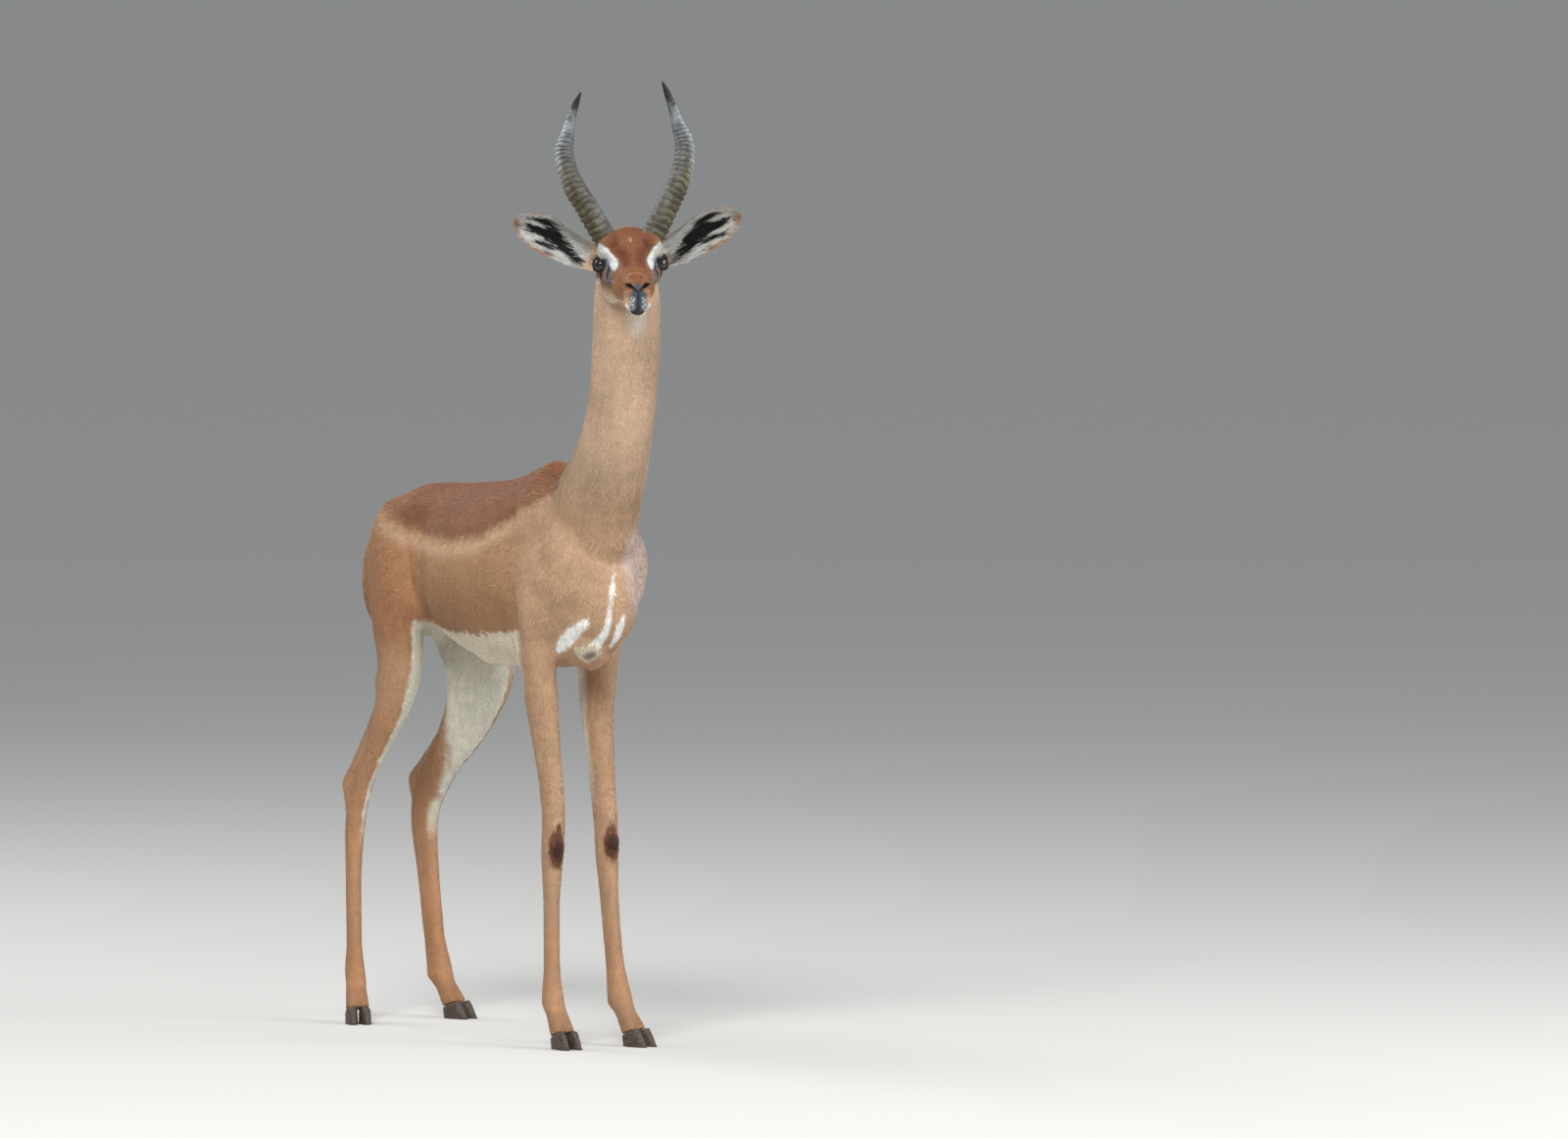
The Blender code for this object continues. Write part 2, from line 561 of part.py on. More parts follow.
def distance_to_line(points, line):
    nearest = np.full(len(points), 1e9)
    for start, end in zip(line, line[1:]):
        start, run = np.array(start), np.array(end) - np.array(start)
        share = np.clip((points - start) @ run / (run @ run), 0, 1)
        nearest = np.minimum(nearest, np.linalg.norm(points - start - share[:, None] * run, axis=1))
    return nearest


# Grooves of the face in head space: a line, its half width and its depth
MOUTH = [(0, 0.2400, -0.0420), (0.010, 0.2360, -0.0425), (0.0195, 0.2180, -0.0410), (0.0250, 0.190, -0.0360)]
NOSTRIL = [(0.0045, 0.2450, -0.0080), (0.0105, 0.2420, -0.0010), (0.0165, 0.2350, 0.0050)]
PHILTRUM = [(0, 0.2470, -0.0080), (0, 0.2440, -0.0380)]
GLAND = [(0.0425, 0.1350, -0.0050), (0.0395, 0.1420, -0.0110)]
FACE_GROOVES = (
    (MOUTH, 0.0022, 0.0024),
    (NOSTRIL, 0.0026, 0.0048),
    (PHILTRUM, 0.0018, 0.0012),
    (GLAND, 0.0022, 0.0024),
)


def carve_face(obj, space):
    """Presses the mouth line, nostrils, lip furrow and eye glands into the head along its normals."""
    into_head = np.array(space.inverted())
    points = points_of(obj)
    local = points @ into_head[:3, :3].T + into_head[:3, 3]
    normals = np.empty(len(points) * 3, np.float32)
    obj.data.vertices.foreach_get("normal", normals)
    push = np.zeros(len(points))
    for line, width, depth in FACE_GROOVES:
        for side in (-1, 1):
            mirrored_line = [(side * x, y, z) for x, y, z in line]
            distance = distance_to_line(local, mirrored_line)
            push = np.maximum(push, depth * np.exp(-(distance / width) ** 2))
    points -= normals.reshape(-1, 3) * push[:, None]
    obj.data.vertices.foreach_set("co", points.astype(np.float32).ravel())
    obj.data.update()


def kept(source, name, planes, collection):
    """A copy of the source on the normal side of every plane, with its cuts filled; its largest closed surface."""
    mesh = bmesh.new()
    mesh.from_mesh(source.data)
    for point, normal in planes:
        everything = mesh.verts[:] + mesh.edges[:] + mesh.faces[:]
        shifted = Vector(point) + Vector(normal) * GAP / 2
        bmesh.ops.bisect_plane(
            mesh, geom=everything, plane_co=shifted, plane_no=normal, dist=1e-6, clear_inner=True
        )
        open_edges = [e for e in mesh.edges if e.is_boundary]
        if open_edges:
            bmesh.ops.holes_fill(mesh, edges=open_edges)
    keep_largest(mesh)
    bmesh.ops.triangulate(mesh, faces=mesh.faces)
    return object_from(name, mesh, collection)


def keep_largest(mesh):
    """Drops all but the largest connected surface."""
    unseen = set(mesh.verts)
    islands = []
    while unseen:
        island, front = set(), [unseen.pop()]
        while front:
            vertex = front.pop()
            island.add(vertex)
            for edge in vertex.link_edges:
                other = edge.other_vert(vertex)
                if other in unseen:
                    unseen.discard(other)
                    front.append(other)
        islands.append(island)
    for island in sorted(islands, key=len)[:-1]:
        bmesh.ops.delete(mesh, geom=list(island), context="VERTS")


def subtract(obj, cutter):
    cut = obj.modifiers.new("cut", "BOOLEAN")
    cut.operation = "DIFFERENCE"
    cut.solver = "EXACT"
    cut.object = cutter
    bake(obj)
    mesh = bmesh.new()
    mesh.from_mesh(obj.data)
    keep_largest(mesh)
    mesh.to_mesh(obj.data)
    mesh.free()


HORN_STATIONS = [
    # x, y, z in head space and half width
    (0.0300, 0.0850, 0.0350, 0.0185),
    (0.0455, 0.0815, 0.0580, 0.0195),
    (0.0673, 0.0640, 0.0970, 0.0190),
    (0.0850, 0.0460, 0.1250, 0.0180),
    (0.0960, 0.0240, 0.1490, 0.0169),
    (0.1009, 0.0060, 0.1716, 0.0160),
    (0.1003, -0.0060, 0.1890, 0.0146),
    (0.0943, -0.0180, 0.2060, 0.0118),
    (0.0890, -0.0270, 0.2250, 0.0089),
    (0.0831, -0.0320, 0.2450, 0.0071),
    (0.0764, -0.0340, 0.2630, 0.0052),
    (0.0692, -0.0300, 0.2810, 0.0014),
]
# the animal's right horn is a little shorter than its left
HORN_LENGTH_SHARE = {1: 0.965, -1: 1.02}
HORN_DEPTH_SHARE = 1.14
HORN_POINTS = 10
RING_SPAN = (0.13, 0.72)
RIDGE = 0.085


def horn_shares():
    """Places along the horn: below the rings, two for each ring, and up to the tip."""
    start, end = RING_SPAN
    rings = start + (end - start) * np.arange(2 * HORN_RINGS) / (2 * HORN_RINGS)
    return np.concatenate([[0, start / 3, 2 * start / 3], rings, np.linspace(end, 1, 8)])


def horn_rows(side, ridge):
    """Stations of one horn in head space, its half width swelling at each ring."""
    fine = smooth_rows(HORN_STATIONS, 400)
    rows = []
    for index, share in enumerate(horn_shares()):
        x, y, z, half = fine[round(share * 399)]
        fading = np.clip((share - RING_SPAN[0]) * 30, 0, 1) * np.clip((RING_SPAN[1] - share) * 9, 0, 1)
        if index % 2 == 0:
            half *= 1 + ridge * fading
        base = HORN_STATIONS[1]
        x, y, z = (base[k] + (value - base[k]) * HORN_LENGTH_SHARE[side] for k, value in enumerate((x, y, z)))
        rows.append((side * x, y, z, half, half * HORN_DEPTH_SHARE, half * HORN_DEPTH_SHARE, 2.0))
    return rows


def horn(name, side, space, collection):
    rows = horn_rows(side, RIDGE)
    placed = [(*(space @ Vector(r[:3])), *r[3:]) for r in rows]
    mesh = bmesh.new()
    loft(mesh, placed, space.to_3x3() @ Vector((0, 1, 0.2)), len(rows), HORN_POINTS)
    return object_from(name, mesh, collection)


# The cutter for a horn's root: how many of the horn's rows it has, and how much each one adds to its flare
SOCKET_ROWS = 14
SOCKET_FLARE = 0.0003


def horn_socket(side, space, collection):
    """A cutter round the horn's root, wider by the gap."""
    rows = horn_rows(side, 0.0)[:SOCKET_ROWS]
    stations = []
    for index, (x, y, z, half, depth, _, power) in enumerate(rows):
        room = 2 * GAP + SOCKET_FLARE * max(index - 3, 0)
        stations.append((*(space @ Vector((x, y, z))), half + room, depth + room, depth + room, power))
    start, following = Vector(stations[0][:3]), Vector(stations[1][:3])
    back = start - (following - start).normalized() * GAP
    stations[0] = (*back, *stations[0][3:])
    mesh = bmesh.new()
    loft(mesh, stations, space.to_3x3() @ Vector((0, 1, 0.2)), len(stations), HORN_POINTS)
    return object_from("horn_socket", mesh, collection)


def eyeball(name, side, space, collection, radius=EYE_RADIUS):
    mesh = bmesh.new()
    place = Matrix.Translation(space @ mirrored(EYE_CENTRE, side))
    bmesh.ops.create_uvsphere(mesh, u_segments=16, v_segments=10, radius=radius, matrix=place)
    return object_from(name, mesh, collection)


def claw(name, foot, side, collection):
    """One hoof capsule: pointed, with a flat sole on the ground, cut to the slope of the coronet."""
    space = toe_space(foot)
    stations = [
        (side * CLAW_SPACING, 0.032, 0.050, 0.0094, 0.0160, 0.0180, 2.3),
        (side * CLAW_SPACING, 0.036, 0.026, 0.0102, 0.0205, 0.0190, 2.2),
        (side * CLAW_SPACING, 0.040, 0.010, 0.0107, 0.0290, 0.0200, 2.0),
        (side * CLAW_SPACING, 0.042, -0.006, 0.0109, 0.0350, 0.0205, 1.9),
    ]
    placed = [(*(space @ Vector(s[:3])), *s[3:]) for s in stations]
    mesh = bmesh.new()
    loft(mesh, placed, space.to_3x3() @ Vector((0, 1, 0)), 5, 14)
    raw = object_from(name + "_raw", mesh, collection)
    point, normal = coronet_plane(foot)
    sole = (Vector((0, 0, GROUND - GAP / 2)), Vector((0, 0, 1)))
    made = kept(raw, name, [(point, -normal), sole], bpy.data.collections["gerenuk"])
    bpy.data.objects.remove(raw)
    return made


def coronet_plane(foot):
    """A point on the coronet and the direction of the flesh above it."""
    space = toe_space(foot)
    point = space @ Vector((0, 0.034, CORONET_HEIGHT - 0.003))
    normal = space.to_3x3() @ Vector((0, -math.sin(CORONET_SLOPE), math.cos(CORONET_SLOPE)))
    return point, normal


TAIL_STATIONS = [
    (0, 0.646, 0.846, 0.016, 0.013, 0.013, 2.0),
    (0, 0.668, 0.835, 0.014, 0.011, 0.011, 2.0),
    (0, 0.692, 0.795, 0.0115, 0.0085, 0.009, 2.0),
    (0, 0.699, 0.745, 0.0100, 0.0070, 0.008, 2.0),
    (0, 0.699, 0.695, 0.0085, 0.0062, 0.0070, 2.0),
    (0.001, 0.697, 0.650, 0.0075, 0.0055, 0.0060, 2.0),
    (0.002, 0.695, 0.615, 0.0060, 0.0045, 0.0050, 2.0),
    (0.003, 0.694, 0.590, 0.0030, 0.0025, 0.0025, 2.0),
]
# the tuft: how many locks, where the first and last are rooted, how long and wide they are
TUFT_LOCKS = 15
TUFT_TOP = 0.700
TUFT_BOTTOM = 0.606
TUFT_LENGTH = 0.068
TUFT_LOCK_HALF_WIDTH = 0.0048
GOLDEN_ANGLE = math.radians(137.5)
TAIL_MIDDLE = Vector((0.001, 0.697, 0))


def tail(mesh, room=0.0):
    """A slim tail hanging against the buttocks."""
    stations = [(*s[:3], *(size + room for size in s[3:6]), s[6]) for s in TAIL_STATIONS]
    loft(mesh, stations, (0, -1, 0), TAIL_STEPS, TAIL_POINTS)


def lock(points, half_width, facing, name, collection):
    """A flat lock of hair along points, thin, widest in its first third and tapering to its tip."""
    widths = (0.70, 1.0, 0.85, 0.55, 0.12)
    stations = [
        (*point, half_width * width, half_width * width * 0.34, half_width * width * 0.34, 2.0)
        for point, width in zip(points, widths)
    ]
    mesh = bmesh.new()
    loft(mesh, stations, facing, len(stations), 4)
    return object_from(name, mesh, collection)


def tuft(collection):
    """Dark locks that hang round the end of the tail, rooted in its shaft."""
    random = np.random.default_rng(11)
    for number in range(TUFT_LOCKS):
        height = TUFT_TOP + (TUFT_BOTTOM - TUFT_TOP) * number / (TUFT_LOCKS - 1)
        angle = number * GOLDEN_ANGLE
        outward = Vector((math.cos(angle), math.sin(angle), 0))
        length = TUFT_LENGTH * random.uniform(0.85, 1.08) * (1 - 0.14 * number / TUFT_LOCKS)
        sideways = Vector((0, 0, 1)).cross(outward) * random.uniform(-0.003, 0.003)
        points = []
        for share, spread in ((0, 0.0005), (0.2, 0.0050), (0.5, 0.0085), (0.8, 0.0080), (1, 0.0055)):
            down = Vector((0, 0, height - share * length))
            points.append(TAIL_MIDDLE + down + outward * spread + sideways * share)
        lock(points, TUFT_LOCK_HALF_WIDTH, outward, "tuft_lock", collection)


# the brush on each knee: the middle of its patch, then its rows and columns of locks and their length
KNEE_BRUSHES = {"front_right": Vector((-0.063, 0.035, 0.314)), "front_left": Vector((0.058, 0.052, 0.316))}
BRUSH_ROWS = (0.019, 0.004, -0.011)
BRUSH_COLUMNS = (-0.0060, 0, 0.0060)
BRUSH_LENGTH = 0.021
BRUSH_LOCK_HALF_WIDTH = 0.0036


def brush(leg, middle, collection):
    """Short dark locks on the front of a knee, lying downwards over one another."""
    mesh = bmesh.new()
    mesh.from_mesh(leg.data)
    surface = BVHTree.FromBMesh(mesh)
    mesh.free()
    facing = surface.find_nearest(middle)[1]
    across = Vector((0, 0, 1)).cross(facing).normalized()
    for row, drop in enumerate(BRUSH_ROWS):
        for shift in BRUSH_COLUMNS:
            root = middle + across * (shift + (0.0016 if row % 2 else -0.0010)) + Vector((0, 0, drop))
            points = []
            for share, lift in ((0, -0.0030), (0.25, 0.0004), (0.5, 0.0022), (0.8, 0.0024), (1, 0.0014)):
                spot, normal = surface.find_nearest(root - Vector((0, 0, share * BRUSH_LENGTH)))[:2]
                points.append(spot + normal * lift)
            lock(points, BRUSH_LOCK_HALF_WIDTH, facing, "brush_lock", collection)


def fuse_locks(obj, collection):
    """Joins every lock of the collection to the node that it grows from, which stays one closed body."""
    union = obj.modifiers.new("locks", "BOOLEAN")
    union.operation = "UNION"
    union.operand_type = "COLLECTION"
    union.solver = "EXACT"
    union.collection = collection
    bake(obj)
    mesh = bmesh.new()
    mesh.from_mesh(obj.data)
    keep_largest(mesh)
    bmesh.ops.triangulate(mesh, faces=mesh.faces)
    mesh.to_mesh(obj.data)
    mesh.free()
    for strand in list(collection.objects):
        bpy.data.objects.remove(strand)


COLOURS = {
    "coat": ((0.46, 0.26, 0.12), 0.85),
    "horn": ((0.13, 0.12, 0.10), 0.55),
    "eye": ((0.02, 0.012, 0.008), 0.10),
    "hoof": ((0.05, 0.042, 0.035), 0.50),
    "tuft": ((0.06, 0.04, 0.03), 0.80),
}


def finish(obj, colour):
    material = bpy.data.materials.get(colour)
    if material is None:
        material = bpy.data.materials.new(colour)
        material.use_nodes = True
        shader = material.node_tree.nodes["Principled BSDF"]
        rgb, roughness = COLOURS[colour]
        shader.inputs["Base Color"].default_value = (*rgb, 1)
        shader.inputs["Roughness"].default_value = roughness
        shader.inputs["Metallic"].default_value = 0
    obj.data.materials.clear()
    obj.data.materials.append(material)
    obj.data.shade_smooth()


def flipped(plane):
    return plane[0], -plane[1]


def centre_on_ground(objects):
    """Moves every object so that the whole stands on z = 0, centred on the origin."""
    corners = np.array([obj.matrix_world @ Vector(corner) for obj in objects for corner in obj.bound_box])
    low, high = corners.min(axis=0), corners.max(axis=0)
    offset = Matrix.Translation((-(low[0] + high[0]) / 2, -(low[1] + high[1]) / 2, -low[2]))
    for obj in objects:
        obj.data.transform(offset)


def build():
    clear_scene()
    parts = bpy.data.collections.new("gerenuk")
    helpers = bpy.data.collections.new("helpers")
    locks = bpy.data.collections.new("locks")
    for collection in (parts, helpers, locks):
        bpy.context.scene.collection.children.link(collection)
    space = head_matrix()

    body_mesh = bmesh.new()
    trunk(body_mesh)
    neck(body_mesh)
    legs(body_mesh)
    body = fused("body", body_mesh, BODY_VOXEL, BODY_ROUNDS, helpers)
    reduce(body, BODY_TRIANGLES)

    head_mesh = bmesh.new()
    neck(head_mesh)
    skull(head_mesh, space)
    eyelids(head_mesh, space)
    ear_roots(head_mesh, space)
    head = fused("head_form", head_mesh, HEAD_VOXEL, HEAD_ROUNDS, helpers)
    carve_face(head, space)
    ear_planes = {}
    for side, word in ((-1, "left"), (1, "right")):
        length = ear_axes(side)[0]
        point = space @ (mirrored(EAR_ROOT, side) + length * EAR_CUT)
        ear_planes[word] = (point, space.to_3x3() @ length)
    upper = kept(head, "upper", [THROAT_CUT, *(flipped(p) for p in ear_planes.values())], helpers)
    reduce(upper, HEAD_TRIANGLES)

    made = {}
    made["neck"] = kept(body, "neck", [NECK_CUT, flipped(THROAT_CUT)], parts)
    made["torso"] = kept(body, "torso", [flipped(NECK_CUT), flipped(FORELEG_CUT), flipped(THIGH_CUT)], parts)
    for name, foot in FEET.items():
        side = Vector((foot["side"], 0, 0))
        front = name.startswith("front")
        split = KNEE_HEIGHT if front else HOCK_HEIGHT
        between = (Vector((0, FORE_AND_HIND_CUT, 0)), Vector((0, -1 if front else 1, 0)))
        root_cut = FORELEG_CUT if front else THIGH_CUT
        joint = (Vector((0, 0, split)), Vector((0, 0, 1)))
        middle = (Vector((0, 0, 0)), side)
        upper_planes = [root_cut, between, middle, joint]
        lower_planes = [between, middle, flipped(joint), coronet_plane(foot)]
        made[f"leg_{name}_upper"] = kept(body, f"leg_{name}_upper", upper_planes, parts)
        made[f"leg_{name}_lower"] = kept(body, f"leg_{name}_lower", lower_planes, parts)
        for claw_side, word in ((-1, "a"), (1, "b")):
            hoof_name = f"hoof_{name}_{word}"
            made[hoof_name] = claw(hoof_name, foot, claw_side, helpers)

    for side, word in ((-1, "left"), (1, "right")):
        made[f"horn_{word}"] = horn(f"horn_{word}", side, space, parts)
        made[f"eye_{word}"] = eyeball(f"eye_{word}", side, space, parts)
    for side, word in ((-1, "left"), (1, "right")):
        sheet = bmesh.new()
        ear(sheet, side, space, EAR_STEPS_ALONG, EAR_STEPS_ACROSS)
        whole_ear = object_from("whole_ear", sheet, helpers)
        made[f"ear_{word}"] = kept(whole_ear, f"ear_{word}", [ear_planes[word]], parts)
    made["head"] = kept(upper, "head", [], parts)
    for side in (-1, 1):
        eye_socket = eyeball("socket", side, space, helpers, EYE_RADIUS + GAP)
        for cutter in (horn_socket(side, space, helpers), eye_socket):
            subtract(made["head"], cutter)

    tail_mesh, socket_mesh = bmesh.new(), bmesh.new()
    tail(tail_mesh)
    tail(socket_mesh, 2 * GAP)
    made["tail"] = object_from("tail", tail_mesh, parts)
    subtract(made["torso"], object_from("tail_socket", socket_mesh, helpers))
    tuft(locks)
    fuse_locks(made["tail"], locks)
    for name, middle in KNEE_BRUSHES.items():
        leg = made[f"leg_{name}_lower"]
        brush(leg, middle, locks)
        fuse_locks(leg, locks)

    for obj in list(helpers.objects):
        bpy.data.objects.remove(obj)
    for name, obj in made.items():
        kind = name.split("_")[0]
        finish(obj, kind if kind in COLOURS else "coat")
    centre_on_ground(list(made.values()))


build()
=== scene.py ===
import math

import bpy
import numpy as np
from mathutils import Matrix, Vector
from mathutils.kdtree import KDTree


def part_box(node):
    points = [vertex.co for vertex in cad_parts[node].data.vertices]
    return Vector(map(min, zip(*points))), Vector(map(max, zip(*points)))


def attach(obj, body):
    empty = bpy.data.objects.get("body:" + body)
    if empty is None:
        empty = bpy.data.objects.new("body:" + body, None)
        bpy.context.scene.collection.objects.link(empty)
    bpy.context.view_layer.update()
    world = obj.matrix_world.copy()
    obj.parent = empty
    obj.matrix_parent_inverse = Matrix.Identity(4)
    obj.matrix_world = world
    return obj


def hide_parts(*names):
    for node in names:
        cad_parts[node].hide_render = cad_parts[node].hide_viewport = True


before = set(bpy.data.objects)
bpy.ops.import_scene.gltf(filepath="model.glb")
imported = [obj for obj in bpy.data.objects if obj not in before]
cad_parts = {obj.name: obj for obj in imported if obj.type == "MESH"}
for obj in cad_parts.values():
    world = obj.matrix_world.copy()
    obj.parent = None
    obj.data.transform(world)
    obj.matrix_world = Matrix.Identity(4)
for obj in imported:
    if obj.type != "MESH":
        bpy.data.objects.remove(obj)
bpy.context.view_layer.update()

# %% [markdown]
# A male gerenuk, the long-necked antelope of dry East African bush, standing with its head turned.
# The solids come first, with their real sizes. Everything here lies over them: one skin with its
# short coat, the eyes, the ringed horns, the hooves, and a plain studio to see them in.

# %% [markdown]
# The face is easiest to describe in its own space: x towards the animal's right, y from the back of
# the skull to the nose and z to the crown. The head is turned 27 degrees, tipped down 11 degrees and
# rolled a little, and the two eyes say where it stands.

# %% Head space
HEAD_YAW = math.radians(27)
HEAD_PITCH = math.radians(11)
HEAD_ROLL = math.radians(1.6)
EYE_IN_HEAD = np.array([0.0465, 0.108, 0.0085])


def unit(vector):
    vector = np.asarray(vector, float)
    return vector / np.maximum(np.linalg.norm(vector, axis=-1, keepdims=True), 1e-12)


def middle(node):
    low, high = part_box(node)
    return (np.array(low) + np.array(high)) / 2


nose_axis = np.array([
    -math.sin(HEAD_YAW) * math.cos(HEAD_PITCH),
    -math.cos(HEAD_YAW) * math.cos(HEAD_PITCH),
    -math.sin(HEAD_PITCH),
])
level_right = np.array([-math.cos(HEAD_YAW), math.sin(HEAD_YAW), 0])
level_crown = np.cross(level_right, nose_axis)
right_axis = level_right * math.cos(HEAD_ROLL) + level_crown * -math.sin(HEAD_ROLL)
crown_axis = np.cross(right_axis, nose_axis)
head_axes = np.array([right_axis, nose_axis, crown_axis])
between_eyes = (middle("eye_left") + middle("eye_right")) / 2
head_origin = between_eyes - EYE_IN_HEAD[1] * nose_axis - EYE_IN_HEAD[2] * crown_axis


def to_head(points):
    return (np.asarray(points) - head_origin) @ head_axes.T


def from_head(points):
    return np.asarray(points) @ head_axes + head_origin


print("right eye in head space", to_head(middle("eye_right")).round(4))
print("left eye in head space", to_head(middle("eye_left")).round(4))

# %% [markdown]
# Shifts between the studio's floor plan and the solids: the animal was laid out from a point between
# its fore feet, and the solids are centred on their box. Markings are easiest from the first point.

# %% Layout space
SKULL_IN_LAYOUT = np.array([-0.0092, -0.0937, 1.3145])
layout_shift = head_origin - SKULL_IN_LAYOUT
print("layout shift", layout_shift.round(4))


def to_layout(points):
    return np.asarray(points) - layout_shift


# %% [markdown]
# One skin covers the head, neck, trunk, ears, limbs and tail, so that no seam shows. Copies of the
# solids are joined, swollen until they touch, remade as one surface of small quads and smoothed, and
# then drawn in by the depth of the coat, so that the hair ends where the solids do.

# %% Joining the flesh
FLESH = [
    "head", "neck", "torso", "ear_left", "ear_right", "tail",
    "leg_front_left_upper", "leg_front_left_lower", "leg_front_right_upper", "leg_front_right_lower",
    "leg_hind_left_upper", "leg_hind_left_lower", "leg_hind_right_upper", "leg_hind_right_lower",
]
SWELL = 0.0007
TRUNK_SWELL = 0.0045
COAT_DEPTH = 0.0011
SKIN_QUAD = 0.0019
TAIL_LINE = [
    (0, 0.640, 0.850, 0.0125), (0, 0.668, 0.835, 0.0110), (0, 0.692, 0.795, 0.0088),
    (0, 0.699, 0.745, 0.0074), (0, 0.699, 0.695, 0.0062), (0.001, 0.697, 0.650, 0.0050),
    (0.002, 0.695, 0.615, 0.0040), (0.003, 0.694, 0.592, 0.0020),
]


def deselect():
    bpy.ops.object.select_all(action="DESELECT")


def coordinates(obj):
    flat = np.empty(len(obj.data.vertices) * 3)
    obj.data.vertices.foreach_get("co", flat)
    return flat.reshape(-1, 3)


def place(obj, points):
    obj.data.vertices.foreach_set("co", np.asarray(points, float).ravel())
    obj.data.update()


def apply_modifier(obj, kind, **settings):
    bpy.context.view_layer.objects.active = obj
    modifier = obj.modifiers.new(kind.title(), kind)
    for key, value in settings.items():
        setattr(modifier, key, value)
    bpy.ops.object.modifier_apply(modifier=modifier.name)


def copy_nodes(names, new_name):
    deselect()
    for name in names:
        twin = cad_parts[name].copy()
        twin.data = twin.data.copy()
        twin.parent = None
        bpy.context.scene.collection.objects.link(twin)
        twin.select_set(True)
        bpy.context.view_layer.objects.active = twin
    if len(names) > 1:
        bpy.ops.object.join()
    twin = bpy.context.view_layer.objects.active
    twin.name = new_name
    twin.data.name = new_name
    twin.data.materials.clear()
    bpy.ops.object.mode_set(mode="EDIT")
    bpy.ops.mesh.select_all(action="SELECT")
    bpy.ops.mesh.remove_doubles(threshold=0.00001)
    bpy.ops.object.mode_set(mode="OBJECT")
    return twin


def smooth_line(keys, count):
    """Rows read from a smooth curve through the named rows."""
    keys = np.array(keys, float)
    padded = np.vstack([2 * keys[0] - keys[1], keys, 2 * keys[-1] - keys[-2]])
    spot = np.linspace(0, len(keys) - 1 - 1e-9, count)
    first = spot.astype(int)
    t = (spot - first)[:, None]
    a, b, c, d = (padded[first + k] for k in range(4))
    return 0.5 * (2 * b + (c - a) * t + (2 * a - 5 * b + 4 * c - d) * t ** 2 + (3 * b - a - 3 * c + d) * t ** 3)


def wrapped_grid(name, around, along, surface):
    """A grid that is bent into a closed tube: surface gives its points for shares along and turns round."""
    deselect()
    bpy.ops.mesh.primitive_grid_add(x_subdivisions=around, y_subdivisions=along, size=1)
    tube = bpy.context.active_object
    tube.name = name
    sheet = coordinates(tube)
    place(tube, surface(np.clip(sheet[:, 1] + 0.5, 0, 1), (sheet[:, 0] + 0.5) * 2 * math.pi))
    bpy.ops.object.mode_set(mode="EDIT")
    bpy.ops.mesh.select_all(action="SELECT")
    bpy.ops.mesh.remove_doubles(threshold=0.000005)
    bpy.ops.mesh.fill_holes(sides=0)
    bpy.ops.mesh.normals_make_consistent(inside=False)
    bpy.ops.object.mode_set(mode="OBJECT")
    return tube


def tail_surface(share, turn):
    rows = smooth_line(TAIL_LINE, 400)[np.clip((share * 399).astype(int), 0, 399)]
    ring = np.column_stack([np.cos(turn), np.sin(turn), 0 * turn])
    return rows[:, :3] + ring * rows[:, 3:] + layout_shift


node_of_vertex = []
node_points = []
for number, name in enumerate(FLESH):
    corners = coordinates(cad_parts[name])
    node_points.append(corners)
    node_of_vertex += [number] * len(corners)
node_points = np.vstack(node_points)

def ramp(value, low, high):
    t = np.clip((value - low) / (high - low), 0, 1)
    return t * t * (3 - 2 * t)


def normals_of(obj):
    flat = np.empty(len(obj.data.vertices) * 3)
    obj.data.vertices.foreach_get("normal", flat)
    return flat.reshape(-1, 3)


def trunk_share(points):
    """1 on the trunk and the neck's base, where the solids are wide, and 0 on the head and limbs."""
    laid_out = to_layout(points)
    share = ramp(laid_out[:, 2], 0.56, 0.66) * (1 - ramp(laid_out[:, 2], 1.08, 1.16))
    return share * (1 - ramp(laid_out[:, 1], 0.622, 0.640))


tail_shaft = wrapped_grid("tail_shaft", 16, 60, tail_surface)
skin = copy_nodes([name for name in FLESH if name != "tail"], "skin")
tail_shaft.select_set(True)
bpy.ops.object.join()
deselect()
skin.select_set(True)
swollen = coordinates(skin)
swollen += (SWELL + TRUNK_SWELL * trunk_share(swollen))[:, None] * normals_of(skin)
place(skin, swollen)
apply_modifier(skin, "REMESH", mode="VOXEL", voxel_size=SKIN_QUAD)
print("skin:", len(skin.data.polygons), "quads")

# %% [markdown]
# The solids are made of flat triangles, so the new surface is relaxed: each point moves towards the
# mean of its neighbours, many times on the trunk, where the facets are wide, and only a little on
# the face and ears, whose edges are sharp. Arrays do this in a moment, where a modifier would need
# one group of points for each strength. The locks on the knees sink into a low swelling this way.

# %% Relaxing the skin
def edges_of(obj):
    flat = np.empty(len(obj.data.edges) * 2, np.int64)
    obj.data.edges.foreach_get("vertices", flat)
    return flat.reshape(-1, 2)


def neighbour_mean(values, edges):
    starts = np.concatenate([edges[:, 0], edges[:, 1]])
    ends = np.concatenate([edges[:, 1], edges[:, 0]])
    counts = np.maximum(np.bincount(starts, minlength=len(values)), 1)
    sums = [np.bincount(starts, values[ends, k], len(values)) for k in range(values.shape[1])]
    return np.array(sums).T / counts[:, None]


def relax(values, edges, strength, rounds):
    for _ in range(rounds):
        values = values + strength * (neighbour_mean(values, edges) - values)
    return values


def nearest_nodes(points):
    tree = KDTree(len(node_points))
    for number, point in enumerate(node_points):
        tree.insert(point, number)
    tree.balance()
    return np.array([node_of_vertex[tree.find(point)[1]] for point in points])


